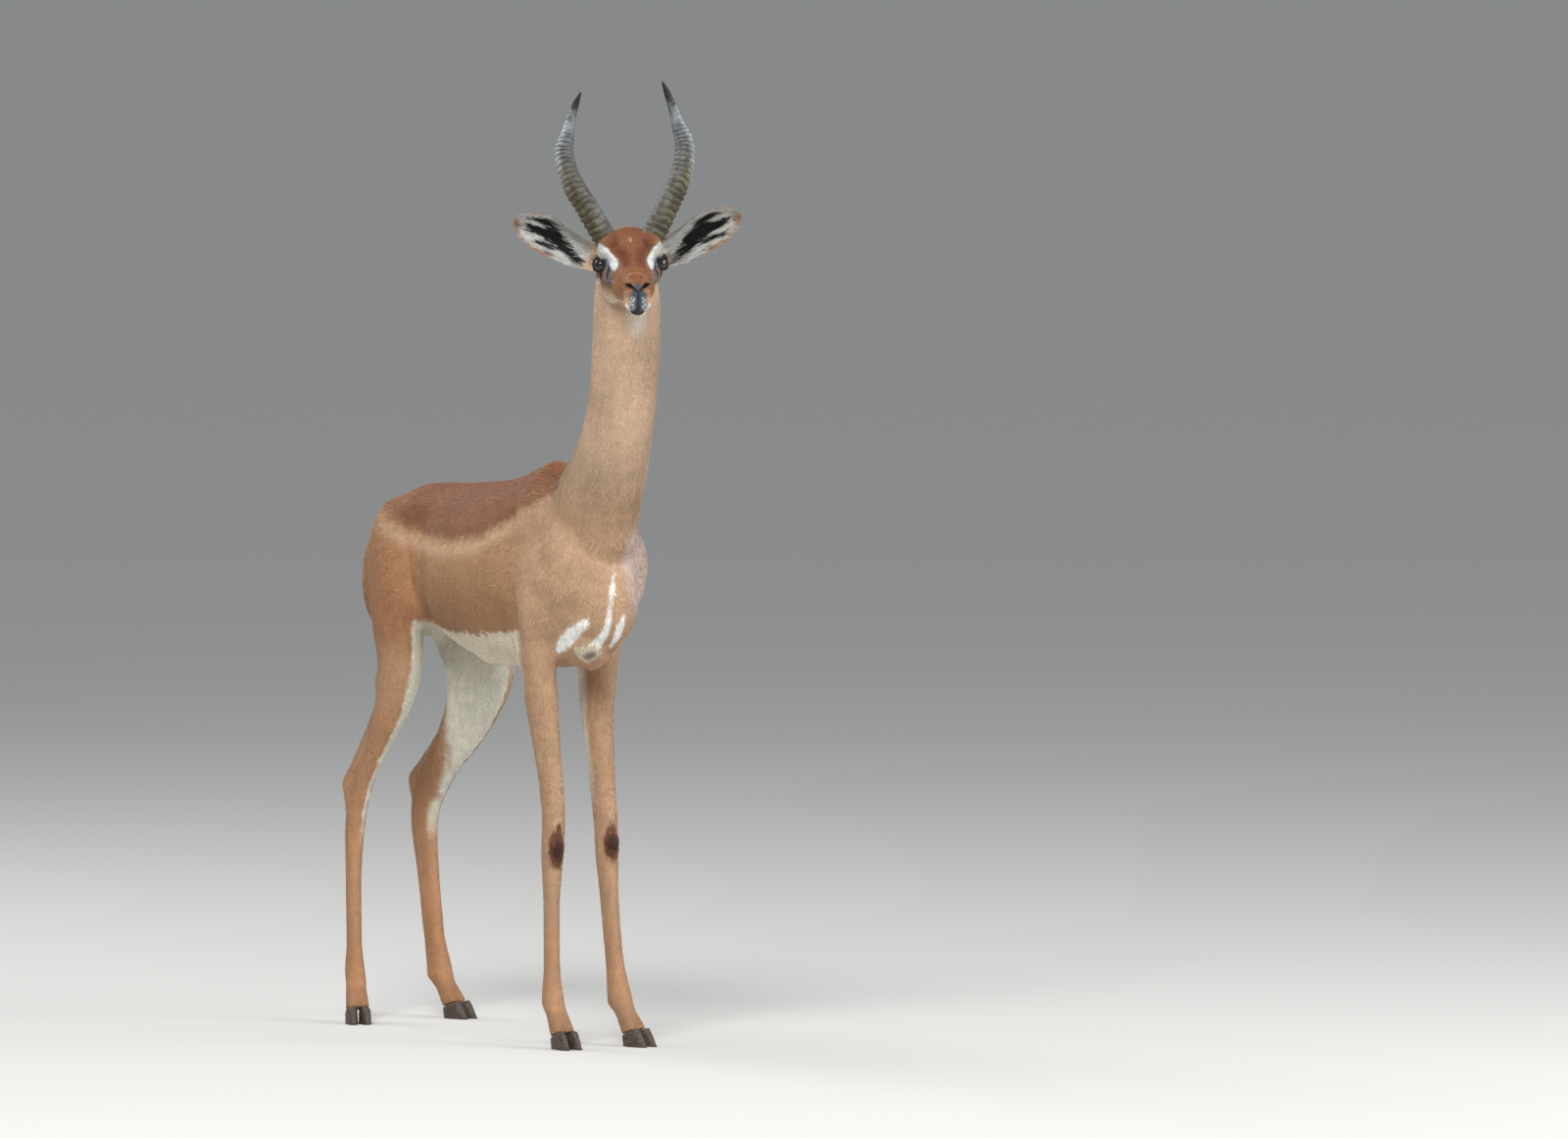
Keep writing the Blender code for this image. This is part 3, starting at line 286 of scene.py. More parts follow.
points = coordinates(skin)
edges = edges_of(skin)
in_head = to_head(points)
near_head = ramp(in_head[:, 1], -0.03, 0.03) * ramp(points[:, 2], 1.19, 1.24)
near_ears = ramp(np.abs(in_head[:, 0]), 0.045, 0.06) * ramp(points[:, 2], 1.24, 1.27)
low_limb = 1 - ramp(points[:, 2], 0.02, 0.10)
firmness = np.maximum.reduce([0.80 * near_head, 0.93 * near_ears, 0.75 * low_limb])
firmness = relax(firmness[:, None], edges, 0.5, 8)
points = relax(points, edges, 0.6 * (1 - firmness), 34)
place(skin, points)
points -= (TRUNK_SWELL * trunk_share(points))[:, None] * normals_of(skin)
place(skin, points)
print("relaxed; the skin is", np.ptp(points[:, 2]).round(3), "m high")

# %% [markdown]
# The face needs points a millimetre apart for lids and nostrils, and the trunk does not. In edit
# mode the trunk and limbs are thinned, and the front of the face is subdivided once.

# %% Fewer points on the body, more on the face
SKIN_TRIANGLES = 184000


def select_faces(obj, chosen):
    obj.data.polygons.foreach_set("select", chosen)
    obj.data.update()


def face_centres(obj):
    flat = np.empty(len(obj.data.polygons) * 3)
    obj.data.polygons.foreach_get("center", flat)
    return flat.reshape(-1, 3)


def edit_faces(obj, chosen, operator, **settings):
    deselect()
    obj.select_set(True)
    bpy.context.view_layer.objects.active = obj
    bpy.ops.object.mode_set(mode="EDIT")
    bpy.ops.mesh.select_mode(type="FACE")
    bpy.ops.mesh.select_all(action="DESELECT")
    bpy.ops.object.mode_set(mode="OBJECT")
    select_faces(obj, chosen)
    bpy.ops.object.mode_set(mode="EDIT")
    operator(**settings)
    bpy.ops.object.mode_set(mode="OBJECT")


def mirrored(in_head):
    """Head-space places with both sides folded onto the animal's right."""
    return np.column_stack([np.abs(in_head[:, 0]), in_head[:, 1:]])


def part_of_head(obj):
    """Whether each face is on the head or ears, and whether it is on the muzzle or by an eye."""
    centres = face_centres(obj)
    inside = to_head(centres)
    head = (centres[:, 2] > 1.225) & (inside[:, 1] > -0.01)
    head |= (centres[:, 2] > 1.25) & (np.abs(inside[:, 0]) > 0.05)
    from_eye = np.linalg.norm(mirrored(inside) - EYE_IN_HEAD, axis=1)
    return head, head & ((inside[:, 1] > 0.168) | (from_eye < 0.030))


on_head, fine = part_of_head(skin)
left_over = SKIN_TRIANGLES - 8 * int(fine.sum()) - int((on_head & ~fine).sum())
edit_faces(skin, ~on_head, bpy.ops.mesh.decimate, ratio=left_over / (2 * int((~on_head).sum())))
on_head, fine = part_of_head(skin)
edit_faces(skin, on_head & ~fine, bpy.ops.mesh.decimate, ratio=0.5)
on_head, fine = part_of_head(skin)
edit_faces(skin, fine, bpy.ops.mesh.subdivide, number_cuts=1)
apply_modifier(skin, "TRIANGULATE")
print("skin:", len(skin.data.polygons), "triangles")

# %% [markdown]
# Where the neck and the thighs leave the trunk, the solids meet in a step. Smoothing that swings back
# after each move fills such steps without making the limbs thinner.

# %% Filling the steps between the solids
points = coordinates(skin)
edges = edges_of(skin)
laid_out = to_layout(points)
on_trunk = ramp(laid_out[:, 2], 0.66, 0.74) * (1 - ramp(laid_out[:, 2], 1.10, 1.17))
on_trunk *= 1 - ramp(laid_out[:, 1], 0.625, 0.645)
for _ in range(30):
    points = points + 0.60 * on_trunk[:, None] * (neighbour_mean(points, edges) - points)
    points = points - 0.61 * on_trunk[:, None] * (neighbour_mean(points, edges) - points)
node_number = nearest_nodes(points)
meeting = (node_number[edges[:, 0]] != node_number[edges[:, 1]]) & (on_trunk[edges[:, 0]] > 0.02)
tree = KDTree(int(meeting.sum()))
for number, vertex in enumerate(edges[meeting, 0]):
    tree.insert(points[vertex], number)
tree.balance()
away = np.full(len(points), 1.0)
for vertex in np.flatnonzero(on_trunk > 0.01):
    away[vertex] = tree.find(points[vertex])[2]
by_step = on_trunk * (1 - ramp(away, 0.009, 0.030))
points = relax(points, edges, 0.65 * by_step[:, None], 90)
place(skin, points)
print("steps filled on", int((by_step > 0.5).sum()), "points")

# %% [markdown]
# Hair lies from the nose over the crown, down the neck, back along the trunk, down the limbs and out
# along the ears. Each node gets one such direction, and relaxing the directions over the skin turns
# them smoothly into one another.

# %% The lie of the coat
def tip_direction(node):
    corners = coordinates(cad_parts[node])
    root = corners[np.argsort(np.linalg.norm(corners - head_origin, axis=1))[:20]].mean(0)
    tip = corners[np.argmax(np.linalg.norm(corners - head_origin, axis=1))]
    return unit(tip - root)


LIE = {
    "head": -head_axes[1] - 0.10 * head_axes[2],
    "neck": np.array([0, 0.30, -1.0]),
    "torso": np.array([0, 0.95, -0.55]),
    "ear_left": tip_direction("ear_left"),
    "ear_right": tip_direction("ear_right"),
    "tail": np.array([0, 0.05, -1.0]),
}
DOWN_THE_THIGH = np.array([0, 0.30, -1.0])
DOWN_THE_LIMB = np.array([0, 0.06, -1.0])

points = coordinates(skin)
edges = edges_of(skin)
node_number = nearest_nodes(points)
lie = np.empty_like(points)
for number, name in enumerate(FLESH):
    upper = DOWN_THE_THIGH if name.startswith("leg_hind") and name.endswith("upper") else DOWN_THE_LIMB
    lie[node_number == number] = unit(LIE.get(name, upper))
chest = (to_layout(points)[:, 1] < 0.10) & (node_number == FLESH.index("torso"))
lie[chest] = unit([0, 0.35, -1.0])
lie = unit(relax(lie, edges, 0.5, 25))
on_ear = np.isin(node_number, [FLESH.index("ear_left"), FLESH.index("ear_right")])
print("points on the ears:", int(on_ear.sum()))

# %% [markdown]
# Markings are painted by functions of place, so that the skin and every tuft of hair over it agree.
# A stroke is a line through named points, wider or narrower along the way, with a soft edge. Colours
# are mixed one over the other, as with a brush, from the ground colour to the finest marks.

# %% Painting helpers
def linear(red, green, blue):
    """A colour named by its everyday 0 to 255 values, as the renderer wants it."""
    value = np.array([red, green, blue]) / 255
    return np.where(value <= 0.04045, value / 12.92, ((value + 0.055) / 1.055) ** 2.4)


def line_distance(points, path):
    """The distance of each point from a line of x, y, z and radius, less the radius there."""
    best = np.full(len(points), 1e9)
    path = np.array(path, float)
    size = points.shape[1]
    for start, end in zip(path[:-1], path[1:]):
        step = end[:size] - start[:size]
        share = np.clip((points - start[:size]) @ step / max(step @ step, 1e-12), 0, 1)
        gap = np.linalg.norm(points - start[:size] - share[:, None] * step, axis=1)
        best = np.minimum(best, gap - (start[size] + share * (end[size] - start[size])))
    return best


def stroke(points, path, soft):
    return 1 - ramp(line_distance(points, path), -soft, soft)


def mottle(points, size, seed):
    """Smooth random values near 0, about 1 in spread, that vary over the given size in metres."""
    random = np.random.default_rng(seed)
    total = np.zeros(len(points))
    for _ in range(14):
        wave = random.normal(size=3) / size
        total += np.sin(points @ wave * 2.2 + random.uniform(0, 6.28))
    return total / 2.6


def paint(colour, mask, new_colour):
    return colour + mask[:, None] * (np.asarray(new_colour) - colour)


TAN = linear(186, 152, 121)
NECK_TAN = linear(193, 164, 137)
FLANK_TAN = linear(168, 131, 97)
FLANK_SHADE = linear(152, 114, 82)
RUST = linear(166, 118, 82)
SADDLE = linear(138, 93, 68)
SADDLE_EDGE = linear(148, 104, 76)
PALE_TAN = linear(205, 174, 143)
WHITE = linear(240, 240, 234)
WARM_WHITE = linear(215, 203, 181)
LEG_WHITE = linear(218, 214, 198)
CHESTNUT = linear(124, 78, 52)
DARK_CHESTNUT = linear(90, 48, 33)
ORANGE_TAN = linear(176, 122, 82)
BLACK = linear(15, 14, 13)
SLATE = linear(86, 92, 98)
DARK_BROWN = linear(66, 42, 32)
KNEE_RUST = linear(118, 74, 50)
MUZZLE_GREY = linear(60, 66, 72)
print("colours ready")

# %% [markdown]
# The trunk is tan, darker towards the belly, with a reddish-brown saddle whose edge dips along the
# side and a paler line under it. The belly, the brisket and the inner sides of the limbs are white.

# %% Markings of the body
SADDLE_EDGE_Y = [0.00, 0.024, 0.051, 0.079, 0.158, 0.222, 0.311, 0.427, 0.485, 0.528, 0.60, 0.66]
SADDLE_EDGE_Z = [0.975, 0.947, 0.917, 0.896, 0.859, 0.829, 0.819, 0.823, 0.832, 0.847, 0.868, 0.875]
WHITE_EDGE_Y = [0.08, 0.113, 0.214, 0.283, 0.37, 0.43]
WHITE_EDGE_Z = [0.668, 0.677, 0.667, 0.661, 0.663, 0.676]
# lines of x, y, z and radius in layout metres
CHEST_LINE = [
    (-0.004, -0.052, 0.792, 0.0008), (-0.016, -0.066, 0.755, 0.0042), (-0.022, -0.067, 0.715, 0.0045),
    (-0.024, -0.065, 0.690, 0.0050), (-0.026, -0.045, 0.668, 0.0075), (-0.028, -0.020, 0.650, 0.0100),
]
BREAST_PATCHES = [
    [(-0.048, -0.036, 0.700, 0.0060), (-0.052, -0.006, 0.682, 0.0115), (-0.053, 0.024, 0.664, 0.0115), (-0.048, 0.048, 0.648, 0.0070)],
    [(0.001, -0.075, 0.710, 0.0030), (-0.002, -0.070, 0.692, 0.0080), (-0.003, -0.056, 0.672, 0.0075), (-0.004, -0.044, 0.654, 0.0030)],
]
BREAST_KNOB = [(-0.024, -0.018, 0.648, 0.0170), (-0.034, 0.006, 0.640, 0.0180)]
KNOB_CENTRE = [(-0.025, -0.016, 0.643, 0.0085), (-0.028, -0.004, 0.636, 0.0085)]
KNOB_EDGE = [(-0.040, -0.002, 0.655, 0.0012), (-0.042, 0.022, 0.643, 0.0016), (-0.036, 0.034, 0.635, 0.0010)]
# creases between the muscles: a line, then how deep it is and how far it spreads
CREASES = [
    ([(-0.079, 0.439, 0.835, 0), (-0.096, 0.410, 0.781, 0), (-0.093, 0.417, 0.734, 0), (-0.076, 0.428, 0.691, 0)], 0.0030, 0.016),
    ([(-0.079, 0.149, 0.868, 0), (-0.090, 0.144, 0.812, 0), (-0.095, 0.131, 0.749, 0), (-0.098, 0.109, 0.704, 0), (-0.091, 0.111, 0.657, 0)], 0.0032, 0.015),
    ([(-0.040, 0.070, 0.925, 0), (-0.061, 0.038, 0.895, 0), (-0.068, 0.001, 0.856, 0), (-0.047, -0.035, 0.820, 0), (-0.020, -0.050, 0.806, 0)], 0.0015, 0.016),
    ([(-0.057, 0.088, 0.907, 0), (-0.081, 0.076, 0.844, 0), (-0.097, 0.024, 0.791, 0)], 0.0020, 0.013),
    ([(-0.095, 0.045, 0.740, 0), (-0.080, 0.010, 0.715, 0), (-0.060, -0.020, 0.720, 0)], 0.0016, 0.014),
]


def both_flanks(path):
    return [path, [(-2 * 0.004 - x, y, z, r) for x, y, z, r in path]]


def body_colour(place, normals):
    x, y, z = place.T
    inward = -np.sign(x) * normals[:, 0]
    forward = -normals[:, 1]
    downward = -normals[:, 2]
    fine = mottle(place, 0.010, 5)
    broad = mottle(place, 0.055, 6)
    colour = np.tile(TAN, (len(place), 1))
    colour = paint(colour, ramp(z, 0.86, 0.98) * ramp(-y, -0.06, 0.03), NECK_TAN)
    flank = ramp(y, 0.06, 0.16) * ramp(z, 0.60, 0.68)
    colour = paint(colour, flank, FLANK_TAN)
    colour = paint(colour, flank * ramp(-z, -0.80, -0.69) * 0.9, FLANK_SHADE)
    haunch = ramp(y, 0.36, 0.47) * ramp(z, 0.50, 0.70)
    colour = paint(colour, haunch * 0.75, RUST)
    limb = 1 - ramp(z, 0.50, 0.62)
    colour = paint(colour, 0.35 * (1 - ramp(y, 0.14, 0.22)) * (1 - ramp(z, 0.56, 0.66)), linear(160, 122, 92))
    # painted light: the breast and shoulder on the far side are made paler and pinker
    lit_far_breast = ramp(x, 0.0, 0.03) * ramp(z, 0.69, 0.74) * (1 - ramp(z, 0.83, 0.87)) * (1 - ramp(y, 0.02, 0.10))
    colour = paint(colour, 0.85 * lit_far_breast, linear(204, 184, 174))
    colour = paint(colour, limb * ramp(y, 0.2, 0.3) * 0.55, ORANGE_TAN)
    colour = paint(colour, limb * (1 - ramp(z, 0.06, 0.30)) * 0.35, ORANGE_TAN)
    # painted shade: the front of the neck's base is darkened by up to a fifth
    throat_base_shade = ramp(z, 0.80, 0.87) * (1 - ramp(z, 0.93, 1.02)) * (1 - ramp(y, 0.02, 0.08)) * (1 - ramp(np.abs(x + 0.02), 0.03, 0.06))
    colour = colour * (1 - 0.20 * throat_base_shade)[:, None]
    # the saddle and the pale line below it
    edge = np.interp(y, SADDLE_EDGE_Y, SADDLE_EDGE_Z) + 0.0016 * fine
    over = z - edge
    neck_end = 0.055 * ramp(z, 0.925, 0.965)
    start = ramp(y - neck_end, 0.0, 0.03)
    pale = np.exp(-((over + 0.017) / 0.013) ** 2) * ramp(y, 0.05, 0.14) * (1 - ramp(y, 0.50, 0.60))
    colour = paint(colour, 0.60 * pale, PALE_TAN)
    saddle = ramp(over, -0.006, 0.009) * start * (1 - ramp(y, 0.56, 0.66))
    nape = ramp(normals[:, 1], 0.12, 0.42) * ramp(z, 0.920, 0.942) * (1 - ramp(y, 0.09, 0.11))
    saddle *= (1 - ramp(z, 0.985, 1.015)) * (1 - nape)
    colour = paint(colour, saddle * 0.85, SADDLE_EDGE)
    colour = paint(colour, saddle * ramp(over, 0.0, 0.045) * (1 - ramp(y, 0.46, 0.60)), SADDLE)
    rim = saddle * np.exp(-((over - 0.014) / 0.012) ** 2) * ramp(y, 0.10, 0.18) * (1 - ramp(y, 0.48, 0.58))
    colour = paint(colour, 0.30 * rim, DARK_CHESTNUT)
    # white below
    edge = np.interp(y, WHITE_EDGE_Y, WHITE_EDGE_Z) + 0.002 * fine
    belly = ramp(edge - z, -0.003, 0.005) * ramp(y, 0.09, 0.13) * ramp(z, 0.53, 0.60)
    belly *= 1 - ramp(y, 0.40, 0.46) * (1 - ramp(inward + downward, 0.0, 0.3))
    colour = paint(colour, belly, WARM_WHITE)
    hind = ramp(y, 0.36, 0.42) * (1 - ramp(z, 0.69, 0.72)) * ramp(z, 0.27, 0.34)
    front_edge = np.where(x > 0, np.interp(z, [0.34, 0.44, 0.56], [-0.70, -0.50, -0.05]), 0.02)
    back_edge = np.interp(z, [0.30, 0.36, 0.42, 0.50, 0.60], [0.80, 0.62, 0.36, -0.10, -0.80])
    turned_in = ramp(inward + 0.05 * fine - front_edge, -0.09, 0.11)
    turned_in *= ramp(forward + 0.03 * fine + 0.05 * broad - back_edge, -0.20, 0.16)
    colour = paint(colour, hind * turned_in, LEG_WHITE)
    fore = (1 - ramp(y, 0.16, 0.22)) * (1 - ramp(z, 0.62, 0.66)) * ramp(z, 0.36, 0.46)
    colour = paint(colour, 0.7 * fore * ramp(inward - 0.5 * forward, 0.82, 1.05), LEG_WHITE)
    # the brisket: a white line down the chest, a white patch on each side and a knob with a grey middle
    chest = 1 - ramp(y, 0.075, 0.095)
    colour = paint(colour, chest * stroke(place, CHEST_LINE, 0.0018 + 0.0008 * np.abs(fine)), WHITE)
    for patch in BREAST_PATCHES:
        colour = paint(colour, chest * stroke(place, patch, 0.0020), WHITE)
    colour = paint(colour, chest * stroke(place, BREAST_KNOB, 0.0025), WARM_WHITE)
    colour = paint(colour, 0.85 * chest * stroke(place, KNOB_CENTRE, 0.0045), linear(112, 106, 102))
    colour = paint(colour, 0.35 * chest * stroke(place, KNOB_EDGE, 0.0015), DARK_BROWN)
    # muscles read by a little shade in the creases between them
    for path, depth, width in CREASES:
        for line in both_flanks(path):
            shade = np.exp(-(np.maximum(line_distance(place, line), 0) / (0.8 * width)) ** 2)
            colour = colour * (1 - 38 * depth * shade)[:, None]
    # beside the tail, the tail and its tuft
    stern = ramp(y, 0.585, 0.61) * (1 - ramp(np.abs(x), 0.024, 0.034)) * ramp(z, 0.66, 0.70) * (1 - ramp(z, 0.82, 0.84))
    colour = paint(colour, stern, WHITE)
    on_tail = ramp(y, 0.655, 0.665) * (1 - ramp(np.abs(x), 0.013, 0.017))
    colour = paint(colour, on_tail, FLANK_SHADE)
    colour = paint(colour, on_tail * (1 - ramp(z, 0.66, 0.74)), BLACK)
    # the pale throat under the chin
    throat = [(-0.020, -0.150, 1.212, 0.016), (-0.021, -0.154, 1.196, 0.012)]
    colour = paint(colour, 0.85 * stroke(place, throat, 0.013), linear(206, 198, 184))
    # knees and pasterns
    for spot in ((-0.063, 0.035, 0.312), (0.058, 0.052, 0.322)):
        away = np.linalg.norm((place - spot) / [0.0115, 0.016, 0.026], axis=1)
        colour = paint(colour, 1 - ramp(away + 0.15 * fine, 0.75, 1.20), KNEE_RUST)
        colour = paint(colour, 1 - ramp(away + 0.15 * fine, 0.30, 0.80), DARK_BROWN)
        above = np.linalg.norm((place - spot - [0, -0.004, 0.046]) / [0.010, 0.012, 0.012], axis=1)
        colour = paint(colour, 0.5 * (1 - ramp(above, 0.6, 1.2)), PALE_TAN)
    hoof_top = 1 - ramp(z, 0.030, 0.045)
    colour = paint(colour, 0.25 * hoof_top, DARK_BROWN)
    return colour * (1 + 0.035 * fine + 0.035 * broad)[:, None]

# %% [markdown]
# The face has a chestnut forehead that narrows down the nose, a white band over each eye, slate-grey
# scent glands in front of the eyes, dark eye rims, a grey muzzle round the nostrils and white lips.

# %% Markings of the face
MM = 0.001
HORN_ROOT = [(0.0300, 0.0850, 0.0350, 0.0185), (0.0455, 0.0815, 0.0580, 0.0195), (0.0560, 0.0730, 0.0770, 0.0190)]
FOREHEAD_Y = [60, 85, 103, 112, 120, 132, 145, 160, 172, 198, 215, 228]
FOREHEAD_WIDTH = [36, 50, 48, 43, 38, 28, 24, 21, 21, 17, 14, 8]
CHEEK = linear(118, 82, 54)
NOSE_TAN = linear(124, 78, 48)
FACE_WHITE = linear(206, 209, 208)
COOL_GREY = linear(128, 130, 130)
GLAND_BLUE = linear(88, 90, 98)


def head_colour(place):
    """Colours by head-space place in metres; the two sides mirror each other."""
    aside = mirrored(place) / MM
    x, y, z = aside.T
    fine = mottle(place, 0.004, 8)
    streak = mottle(place * [1.0, 0.25, 1.0], 0.0022, 9)
    colour = np.tile(NECK_TAN, (len(place), 1))
    colour = paint(colour, ramp(z, -62, -30) * ramp(y, 20, 60), TAN)
    side = ramp(z, -45, -20) * ramp(y, 40, 70) * (1 - ramp(y, 205, 235))
    colour = paint(colour, 0.85 * side, CHEEK)
    colour = paint(colour, ramp(y, 150, 190) * ramp(z, -32, -10) * 0.9, NOSE_TAN)
    # throat and chin
    colour = paint(colour, 0.75 * (1 - ramp(z, -62, -38)) * ramp(y, 60, 100), WARM_WHITE)
    # forehead and bridge of the nose
    width = np.interp(y, FOREHEAD_Y, FOREHEAD_WIDTH) + 0.8 * fine
    crown = (1 - ramp(x - width, -1.8, 1.8)) * ramp(z, -2, 8) * ramp(y, 55, 75)
    colour = paint(colour, crown * (1 - ramp(y, 222, 234)), CHESTNUT)
    colour = paint(colour, crown * ramp(y, 176, 204), NOSE_TAN)
    deep = crown * np.exp(-((x - 0.62 * width) / 9) ** 2) * ramp(y, 96, 118) * (1 - ramp(y, 165, 195))
    colour = paint(colour, 0.75 * deep, DARK_CHESTNUT)
    colour = paint(colour, crown * (1 - ramp(y, 60, 78)) * 0.6, PALE_TAN)
    colour = paint(colour, 0.6 * stroke(aside, [(0, 108, 51, 2.0), (0, 113, 49, 1.2)], 2.2), PALE_TAN)
    # dark brown between the eye, the ear and the horn
    temple = [(56, 84, 30, 4), (60, 70, 22, 7), (55, 55, 8, 9), (52, 40, 8, 9)]
    colour = paint(colour, 0.85 * stroke(aside, temple, 3.5), CHESTNUT)
    # the white band over the eye, greyer towards the horn and beside the eye
    grey_lid = [(60, 104, 24, 4), (55, 112, 27, 6), (48, 122, 21, 5), (42, 132, 12, 4)]
    colour = paint(colour, 0.85 * stroke(aside, grey_lid, 2.5), linear(160, 158, 152))
    band = [(56, 94, 36, 6), (51, 107, 36, 8.5), (45, 118, 31, 9.5), (37.5, 130, 22, 10), (30.5, 144, 17, 9.5), (29, 149, 15, 8.5)]
    band = stroke(aside, band, 1.5 + 0.5 * np.abs(streak))
    colour = paint(colour, band, FACE_WHITE)
    beside_brow = 1 - ramp(x - width, 2.5, 7.0)
    upper_band = (1 - ramp(y, 124, 142)) * (1 - 0.8 * beside_brow) * (0.85 + 0.25 * fine)
    colour = paint(colour, 0.85 * band * np.clip(upper_band, 0, 1), linear(140, 133, 121))
    toward_eye = 1 - ramp(np.linalg.norm(aside - EYE_IN_HEAD / MM, axis=1), 22, 31)
    shade = toward_eye * ramp(-y, -136, -118) * (0.75 + 0.35 * fine)
    colour = paint(colour, 0.75 * band * np.clip(shade, 0, 1), linear(142, 140, 134))
    # the gland with its slit, and the bare grey skin round it
    round_gland = [(43, 124, 17, 4.5), (42, 133, 9, 7.0), (42, 142, 0, 9.0), (42, 147, -9, 7.5), (46, 138, -16, 5.0)]
    colour = paint(colour, 0.92 * stroke(aside, round_gland, 2.6), GLAND_BLUE * (1 + 0.15 * fine)[:, None])
    pale_under = [(54, 104, -17, 3.0), (51, 118, -20, 2.2), (47, 138, -23, 2.2), (43, 152, -21, 2.0), (38, 158, -14, 1.0)]
    colour = paint(colour, 0.75 * stroke(aside, pale_under, 1.6), WARM_WHITE)
    slit = [(40, 131, 11, 1.6), (41, 138, 4, 3.4), (43, 141, -2.5, 3.6), (43, 143, -7, 1.6)]
    colour = paint(colour, 0.97 * stroke(aside, slit, 1.2), linear(24, 22, 24))
    # black rims, a heavier upper lid and the black corner running down from the eye
    from_eye = np.linalg.norm(aside - EYE_IN_HEAD / MM, axis=1)
    colour = paint(colour, 1 - ramp(from_eye, 18.4, 20.2), BLACK)
    upper_lid = [(61, 92, 19, 2.0), (57, 106, 24.5, 2.6), (49, 119, 23.5, 2.4), (42, 127, 19, 1.0)]
    colour = paint(colour, 0.9 * stroke(aside, upper_lid, 1.4), BLACK)
    corner = [(55, 118, -3, 4.0), (53.5, 114, -9, 3.6), (50, 113, -16, 2.4), (46.5, 116, -22, 1.0)]
    colour = paint(colour, stroke(aside, corner, 1.3), BLACK)
    # the muzzle, seen from the front: x and z only, on the part that faces forward
    front = ramp(y, 217, 228)
    flat = aside[:, [0, 2]]
    rim = [(0, 206, 17, 1.0), (8, 205, 16, 1.2), (15.5, 206, 11, 1.5), (21, 214, 8, 1.6), (21, 228, 8, 1.4)]
    colour = paint(colour, 0.50 * stroke(aside, rim, 1.8), PALE_TAN)
    side_lip = [(22, 226, -35, 3.5), (26, 206, -38, 4.0), (28, 190, -38, 3.0)]
    colour = paint(colour, 0.75 * stroke(aside, side_lip, 2.5), WARM_WHITE)
    sides = front * stroke(flat, [(21, -8, 3.0), (22, -18, 4.0), (20, -26, 4.0)], 4.0)
    colour = paint(colour, 0.25 * sides, PALE_TAN)
    grey = front * stroke(flat, [(0, 2, 6.0), (1, -6, 8.5), (5, -14, 9.0), (7, -24, 9.5), (6, -35, 9.0), (4, -41, 7.0)], 2.8 + 0.8 * np.abs(fine))
    colour = paint(colour, grey, MUZZLE_GREY)
    speckled = grey * ramp(x, 3.5, 8.5) * ramp(-z, 12, 20) * (1 - ramp(-z, 38, 44))
    colour = paint(colour, 0.40 * speckled, linear(150, 156, 160))
    colour = paint(colour, 0.75 * speckled * ramp(streak + fine, -0.2, 1.2), linear(190, 196, 200))
    lip = front * stroke(flat, [(21, -30, 1.8), (18, -37, 3.4), (14, -44, 2.6), (8, -50, 1.6), (0, -51.8, 1.5)], 1.5)
    colour = paint(colour, 0.95 * lip, FACE_WHITE)
    vee = front * stroke(flat, [(0, -9, 1.4), (5, -4.5, 1.4), (9, -0.5, 2.0)], 1.2)
    colour = paint(colour, 0.85 * vee, linear(38, 34, 36))
    nostril = front * stroke(flat, [(9.5, 0.5, 2.6), (14, 3.0, 5.0), (18.5, 3.4, 3.6)], 1.1)
    colour = paint(colour, nostril, linear(14, 12, 13))
    colour = paint(colour, 0.9 * front * stroke(flat, [(0, -9, 1.8), (0, -24, 1.3), (0, -42, 1.8)], 1.0), linear(34, 33, 38))
    mouth = front * stroke(flat, [(0, -47.4, 2.8), (8, -45.6, 2.2), (13.5, -42.6, 0.9)], 0.9)
    colour = paint(colour, mouth, linear(20, 17, 18))
    mouth_line = [(12.5, 233, -43, 1.2), (19.5, 218, -41, 1.0), (25, 190, -36.5, 0.7)]
    colour = paint(colour, stroke(aside, mouth_line, 0.8), linear(26, 23, 25))
    return colour * (1 + 0.07 * fine + 0.07 * streak)[:, None]


# %% [markdown]
# Each ear is a leaf with a curled rim. Seen along its length and across its width, the inner face
# has long white hair parted by black fingers that spread from the root, and an orange rim and tip.

# %% Markings of the ears
EAR_LENGTH = 0.174
EAR_HALF_WIDTH = 0.033
EAR_ROOT = np.array([0.036, 0.022, -0.008])
EAR_POSE = {1: (19, 31), -1: (23.5, 9)}
EAR_WHITE = linear(212, 212, 206)
EAR_RIM = linear(158, 106, 66)
EAR_PLACES = [0, 0.14, 0.32, 0.55, 0.76, 0.90, 0.97, 1]
EAR_WIDTHS = [0.55, 0.72, 0.95, 1.0, 0.93, 0.72, 0.45, 0.12]
BLACK_FINGERS = [
    [(32, 15, 1.0), (48, 11, 5.0), (62, 8, 8.5), (78, 2, 12.0), (92, -3, 15.0), (103, -9, 18.0)],
    [(103, -15, 11.0), (112, -20, 8.5), (124, -21, 7.0), (136, -20, 4.5), (147, -19, 1.2)],
    [(100, 0, 10.0), (112, 2, 8.5), (126, 0, 8.0), (140, -1, 6.5), (152, -3, 4.5), (160, -3, 1.4)],
    [(86, 12, 2.0), (98, 15, 3.6), (114, 16.5, 4.2), (126, 19, 3.8), (137, 20, 1.0)],
    [(86, 22, 1.2), (94, 25, 2.8), (104, 27.5, 1.2)],
]


def ear_frame(side):
    """Root, length, width and opening directions of one ear in head space; side 1 is the animal's right."""
    rise, back = (math.radians(angle) for angle in EAR_POSE[side])
    length = np.array([side * math.cos(rise) * math.cos(back), -math.cos(rise) * math.sin(back), math.sin(rise)])
    opening = np.array([side * 0.10, 1.0, -0.12])
    opening = unit(opening - length * (opening @ length))
    width = unit(np.cross(opening, length)) * side
    return EAR_ROOT * [side, 1, 1], length, width, opening


